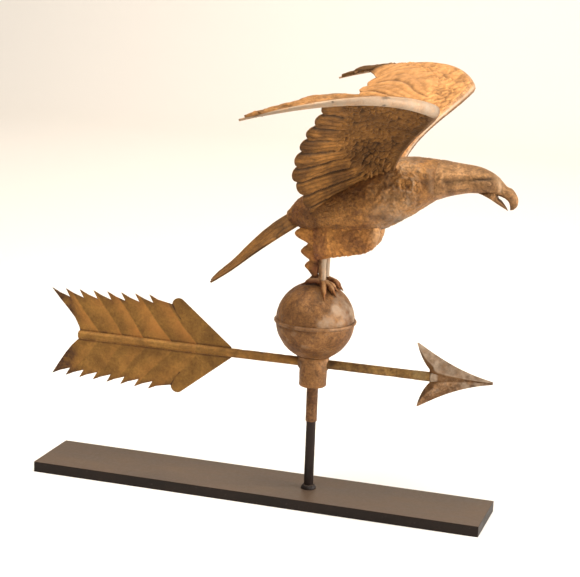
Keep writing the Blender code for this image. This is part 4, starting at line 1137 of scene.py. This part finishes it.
def make_fletching():
    """Toothed blades with stepped bands, a slit in the front lobe and a dark rear end."""
    rear_edge = {1: ([5.0, 10.6, 23.5, 35.9, 48.6, 61.6], [-334.2, -335.2, -341.8, -352.7, -364.7, -376.0]),
                 -1: ([5.0, 15.8, 27.4, 40.7, 59.6], [-335.2, -346.3, -355.3, -364.2, -376.0])}
    for node, side, seed in (("fletch_upper", 1, 331), ("fletch_lower", -1, 341)):
        top, phase = blade_edge(330, side)
        front = np.linspace(0, 1, 90)[1:-1, None]
        top = np.vstack([top, top[-1] + (np.array([-114 * MM, 6.8 * MM]) - top[-1]) * front])
        phase = np.r_[phase, 8.36 + 1.64 * front[:, 0]]
        share = phase / phase[-1]
        base = np.stack([-336 * MM + 221.8 * MM * share**1.02, np.full(len(share), 5.0 * MM)], -1)
        w = np.linspace(0, 1, 90)
        sheet = base[:, None] + (top - base)[:, None] * w[None, :, None]
        heights, places = rear_edge[side]
        tail = np.interp(sheet[0, :, 1] / MM, heights, places) * MM
        pull = bell(np.arange(len(share)), 26.0)[:, None]
        sheet[..., 0] += (tail - sheet[0, :, 0])[None] * pull
        tooth = phase[:, None] + 0 * w[None]
        place = np.stack([sheet[..., 0], 0 * sheet[..., 0], sheet[..., 1] * side], -1)
        rough, broad = fbm(place, 60, 4, seed), fbm(place, 16, 2, seed + 3)
        fine = fbm(place, 230, 2, seed + 4)
        wave = (tooth + 0.30 * broad + 0.06 * rough) * 0.62 + 0.12
        saw = wave - np.floor(wave)
        body_part = 1 - step(7.9, 8.2, tooth)
        band = saw**1.3 * (1 - step(0.93, 1.0, saw)) * body_part
        barbs = np.sin(math.tau * 4 * tooth) * 0.04 * w[None] * body_part
        cut = [(a * MM, (b + side) * MM) for a, b in ((-199.3, 55.5), (-194.5, 46.0), (-187.5, 37.0))]
        slit_d, at = line_distance(sheet[..., 0], sheet[..., 1], cut)
        slit = bell(slit_d, 0.75 * MM)
        slit = slit * (0.35 + 0.65 * (1 - step(0.25, 0.5, at)) + 0.5 * step(0.8, 0.95, at))
        edge = step(0.955, 1.0, w)[None]
        h = 0.9 * (band - 0.4) + barbs + 0.18 * rough - 1.1 * slit - 0.2 * edge
        fade = step(0, 0.06, w)[None] * (1 - 0.5 * edge)
        middle = 0.5 * broad * w[None] * MM
        halves = []
        for face in (1, -1):
            halves.append(np.stack([sheet[..., 0], middle + (0.8 * face - 0.5 * h * fade) * MM,
                                    SHAFT_Z + side * sheet[..., 1]], -1))
        # painted shadow: a dark line along the edge of the shaft on each blade
        line = bell(sheet[..., 1] - 7.0 * MM, 1.2 * MM)
        rear = 1 - step(-358 * MM, -334 * MM, sheet[..., 0] + 0.35 * (sheet[..., 1] - 40 * MM) * (side > 0)
                        + 12 * MM * rough)
        blotch = step(-0.25, 0.15, fbm(place, 95, 3, seed + 8))
        teeth = step(0.80, 1.0, w + 0 * tooth) * body_part * (0.55 + 0.6 * rough)
        # dark: the rear end's marbling, the teeth and the edge outline, with the painted shadow line along
        # the shaft and painted shade in the slit's groove
        dark = rear * (0.35 + 0.75 * blotch) + 0.9 * teeth + 0.30 * edge + 0.8 * line + 0.9 * slit
        # the high side of each band is painted orange, partly as the copper's own tone and partly as painted
        # light, more on the upper blade
        orange = band * (0.75 if side > 0 else 0.25) * (0.75 + 0.8 * broad + 0.3 * rough) * (1 - rear)
        relief = 0.52 + 0.26 * (band - 0.4) * (1.0 if side > 0 else 0.5) - 0.5 * slit
        guide = tints(rough.shape, relief + 0.08 * rough + 0.05 * fine, orange, dark)
        piece(node + "_blade", skin(*halves, guide), node, FLETCH_COPPER)


def make_arrow_head():
    """Swallow-tailed cast head: a broad outer and a steep inner face on each barb, and a boss."""
    rows, cols = 170, 60
    t = np.linspace(0, 1, rows)
    out = bezier([(0.1396, 0, 0.0430), (0.160, 0, 0.0310), (0.191, 0, 0.0103), (0.2382, 0, 0.0020)], t)
    inner = bezier([(0.1396, 0, 0.0397), (0.1427, 0, 0.0285), (0.1487, 0, 0.015), (0.1575, 0, 0.007)],
                   np.clip(t * 16 / 7, 0, 1))
    core = np.stack([0.1596 + 0.0788 * (2 * t - 1), 0 * t, 0 * t], -1)
    blend = step(0.40, 0.52, t)[:, None]
    inner = inner * (1 - blend) + core * blend
    # round the barb tips and the point off
    nose = 1 - 0.5 * np.exp(-t / 0.012) - 0.35 * np.exp(-(1 - t) / 0.012)
    middle = (out + inner) / 2
    out, inner = middle + (out - middle) * nose[:, None], middle + (inner - middle) * nose[:, None]
    crest = (1.3 + 3.6 * np.sin(math.pi * np.minimum(1, 0.10 + t * 0.95)) ** 0.8) * MM
    v = np.linspace(0, 1, cols)[None]
    joined = step(0.42, 0.60, t)[:, None]
    top_at = (0.60 + 0.10 * joined[:, 0])[:, None] + 0.03 * np.sin(9 * t)[:, None]
    rise, fall = np.clip(v / top_at, 0, 1), np.clip((1 - v) / (1 - top_at), 0, 1)
    solids = []
    for side in (1, -1):
        halves = []
        for face in (1, -1):
            sheet = out[:, None] + (inner - out)[:, None] * v[..., None]
            place = sheet * [1, 1, side] + [0, face * 0.01, 0]
            rough, fine = fbm(place, 110, 4, 361), fbm(place, 260, 3, 367)
            beyond = fall * (1 - 0.62 * joined) + 0.62 * joined
            profile = np.where(v < top_at, rise**0.75, np.minimum(1, beyond))
            thick = crest[:, None] * profile + (0.24 * rough + 0.14 * fine) * MM * np.sin(math.pi * v) ** 0.5
            sheet[..., 1] = face * np.clip(thick, 0.35 * MM, 5.1 * MM)
            sheet[..., 0] -= side * 1.6 * MM * sheet[..., 2] / 0.042
            sheet[..., 2] = HEAD_Z + side * sheet[..., 2]
            halves.append(sheet)
        outer = 1 - step(0.0, 0.12, v - top_at)
        ridge = bell(v - top_at, 0.06)
        # painted light: the outer faces of the upper barb, which face up, are painted much paler than those
        # of the lower barb, which face down
        if side > 0:
            worn = outer * (0.66 + 1.3 * rough) + 0.2 * ridge
        else:
            worn = step(0.45, 0.7, t)[:, None] * outer * (0.30 + 0.8 * rough) + 0.25 * (rough > 0.15)
        hollow = (1 - outer) * step(0.22, 0.34, t)[:, None] * (1 - step(0.58, 0.72, t)[:, None])
        rust = hollow * (0.9 + rough) + (1 - outer) * 0.25 + 0.5 * outer * step(0.10, 0.35, -rough)
        shade = 0.50 - 0.30 * (1 - outer) * (1 - step(0.2, 0.32, t))[:, None] + 0.14 * ridge
        guide = tints(rough.shape, shade + 0.18 * rough + 0.16 * fine, worn, rust)
        solids.append(skin(*halves, guide))
    # the boss narrows from the shaft's socket towards the point
    x = np.linspace(0, 1, 80)
    radius = np.interp(x, [0, 0.04, 0.33, 0.93, 1.0], [5.8, 6.3, 5.4, 2.0, 0.3]) * MM
    path = np.stack([0.1576 + 0.029 * x, 0 * x, SHAFT_Z + 0.3 * MM * x], -1)
    ring, _ = tube(path, radius, 36)
    rough = fbm(ring, 140, 3, 371)
    ring = swell(ring, path, 0.2 * MM * rough)
    solder = (1 - step(0.22, 0.40, x))[:, None]
    guide = tints(rough.shape, 0.5 + 0.3 * rough, (0.75 + rough) * solder, 0.9 * (1 - solder))
    solids.append(closed_loft(ring, guide))
    piece("arrow_head_cast", join(*solids), "arrow_head", HEAD_CASTING)


def make_weld():
    """Fillet of weld round the foot of the post, with the ripples of its passes."""
    count = 220
    turn = circle(count)
    ripple = np.abs(np.sin(turn * 15 + 0.5 * np.sin(3 * turn))) ** 0.7
    grow = (1.05 + 0.12 * ripple + 0.30 * fbm(flat(np.cos(turn), np.sin(turn)), 2.5, 3, 401))[:, None]
    a = np.linspace(0, math.pi / 2, 18)
    out, rise = np.r_[np.sin(a) ** 1.4, 0], np.r_[np.cos(a) ** 1.4, 0]
    radius, height = 6.5 * MM + 3.1 * MM * grow * out, 14.6 * MM + 5.0 * MM * grow * rise
    ring = np.stack([radius * np.cos(turn)[:, None], radius * np.sin(turn)[:, None], height], -1)
    faces = np.vstack([quads(count, 19, True), wrap_row(count, 19)])
    piece("post_weld_bead", (ring.reshape(-1, 3), faces, tints((count * 19,), 0.5)), "post_weld",
          POST_PAINT, body="stand")


make_ball()
make_bead()
make_collar()
make_shafts()
make_fletching()
make_arrow_head()
make_weld()

# the plate, post, sleeve and plug keep the frame's own shape
for node, material in (("base_plate", PLATE_PAINT), ("post", POST_PAINT),
                       ("spindle_sleeve", SLEEVE_BROWN), ("pivot_plug", SHAFT_COPPER)):
    item = bpy.data.objects[node]
    item.data.materials.clear()
    item.data.materials.append(material)

# ------------------------------------------------------------------ camera, light and floor
YAW, PITCH, ROLL = math.radians(-17.29), math.radians(12.96), math.radians(2.18)
ahead = Vector((math.sin(YAW) * math.cos(PITCH), math.cos(YAW) * math.cos(PITCH), -math.sin(PITCH)))
right = Vector((math.cos(YAW), -math.sin(YAW), 0))
up = right.cross(ahead)
right, up = math.cos(ROLL) * right + math.sin(ROLL) * up, -math.sin(ROLL) * right + math.cos(ROLL) * up
camera = bpy.data.objects.new("camera", bpy.data.cameras.new("camera"))
bpy.context.scene.collection.objects.link(camera)
turn = Matrix((right, up, -ahead)).transposed().to_4x4()
camera.matrix_world = Matrix.Translation((0.588, -2.005, 0.767)) @ turn
camera.data.lens, camera.data.sensor_width = 102.57, 36
bpy.context.scene.camera = camera


def lamp(name, place, target, size, power, colour):
    light = bpy.data.lights.new(name, "AREA")
    light.size, light.energy, light.color = size, power, colour
    item = bpy.data.objects.new(name, light)
    item.location = place
    item.rotation_euler = (Vector(target) - Vector(place)).to_track_quat("-Z", "Y").to_euler()
    bpy.context.scene.collection.objects.link(item)


lamp("window", (1.95, -0.05, 0.95), (0, 0, 0.33), 1.3, 66, (1.0, 0.98, 0.95))
lamp("ceiling", (-0.25, -0.60, 2.4), (0, 0, 0.40), 1.4, 68, (1.0, 0.95, 0.87))
lamp("wall_wash", (-0.2, 2.2, 3.2), (-0.4, 4.3, 0.9), 1.6, 62, (1.0, 0.90, 0.78))

floor_material = bpy.data.materials.new("backdrop")
floor_material.use_nodes = True
tree = floor_material.node_tree
shader = tree.nodes["Principled BSDF"]
shader.inputs["Roughness"].default_value = 0.9
shader.inputs["Specular IOR Level"].default_value = 0.1
grain = tree.nodes.new("ShaderNodeTexNoise")
grain.inputs["Scale"].default_value = 1.5
tone = tree.nodes.new("ShaderNodeValToRGB")
tone.color_ramp.elements[0].color = (0.84, 0.80, 0.75, 1)
tone.color_ramp.elements[1].color = (0.90, 0.87, 0.83, 1)
tree.links.new(grain.outputs["Fac"], tone.inputs["Fac"])
tree.links.new(tone.outputs["Color"], shader.inputs["Base Color"])
# a floor that curves up into a wall
HALF_WIDTH, FLOOR_FRONT, FLOOR_REAR, CURVE_R, WALL_TOP = 9.0, -6.0, 3.4, 0.9, 7.0
backdrop = bpy.data.meshes.new("backdrop")
bend = [math.radians(a) for a in range(0, 91, 10)]
profile = [(FLOOR_FRONT, 0.0)]
profile += [(FLOOR_REAR + CURVE_R * math.sin(a), CURVE_R - CURVE_R * math.cos(a)) for a in bend]
profile += [(FLOOR_REAR + CURVE_R, WALL_TOP)]
rows = [[(x, y, z) for x in (-HALF_WIDTH, HALF_WIDTH)] for y, z in profile]
backdrop.from_pydata([p for row in rows for p in row], [],
                     [(2 * i, 2 * i + 1, 2 * i + 3, 2 * i + 2) for i in range(len(rows) - 1)])
backdrop.polygons.foreach_set("use_smooth", [True] * len(backdrop.polygons))
backdrop.materials.append(floor_material)
sweep = bpy.data.objects.new("backdrop", backdrop)
bpy.context.scene.collection.objects.link(sweep)

world = bpy.data.worlds.new("studio")
world.use_nodes = True
world.node_tree.nodes["Background"].inputs["Color"].default_value = (1.0, 0.95, 0.89, 1)
world.node_tree.nodes["Background"].inputs["Strength"].default_value = 0.50
bpy.context.scene.world = world
bpy.context.scene.view_settings.view_transform = "Standard"
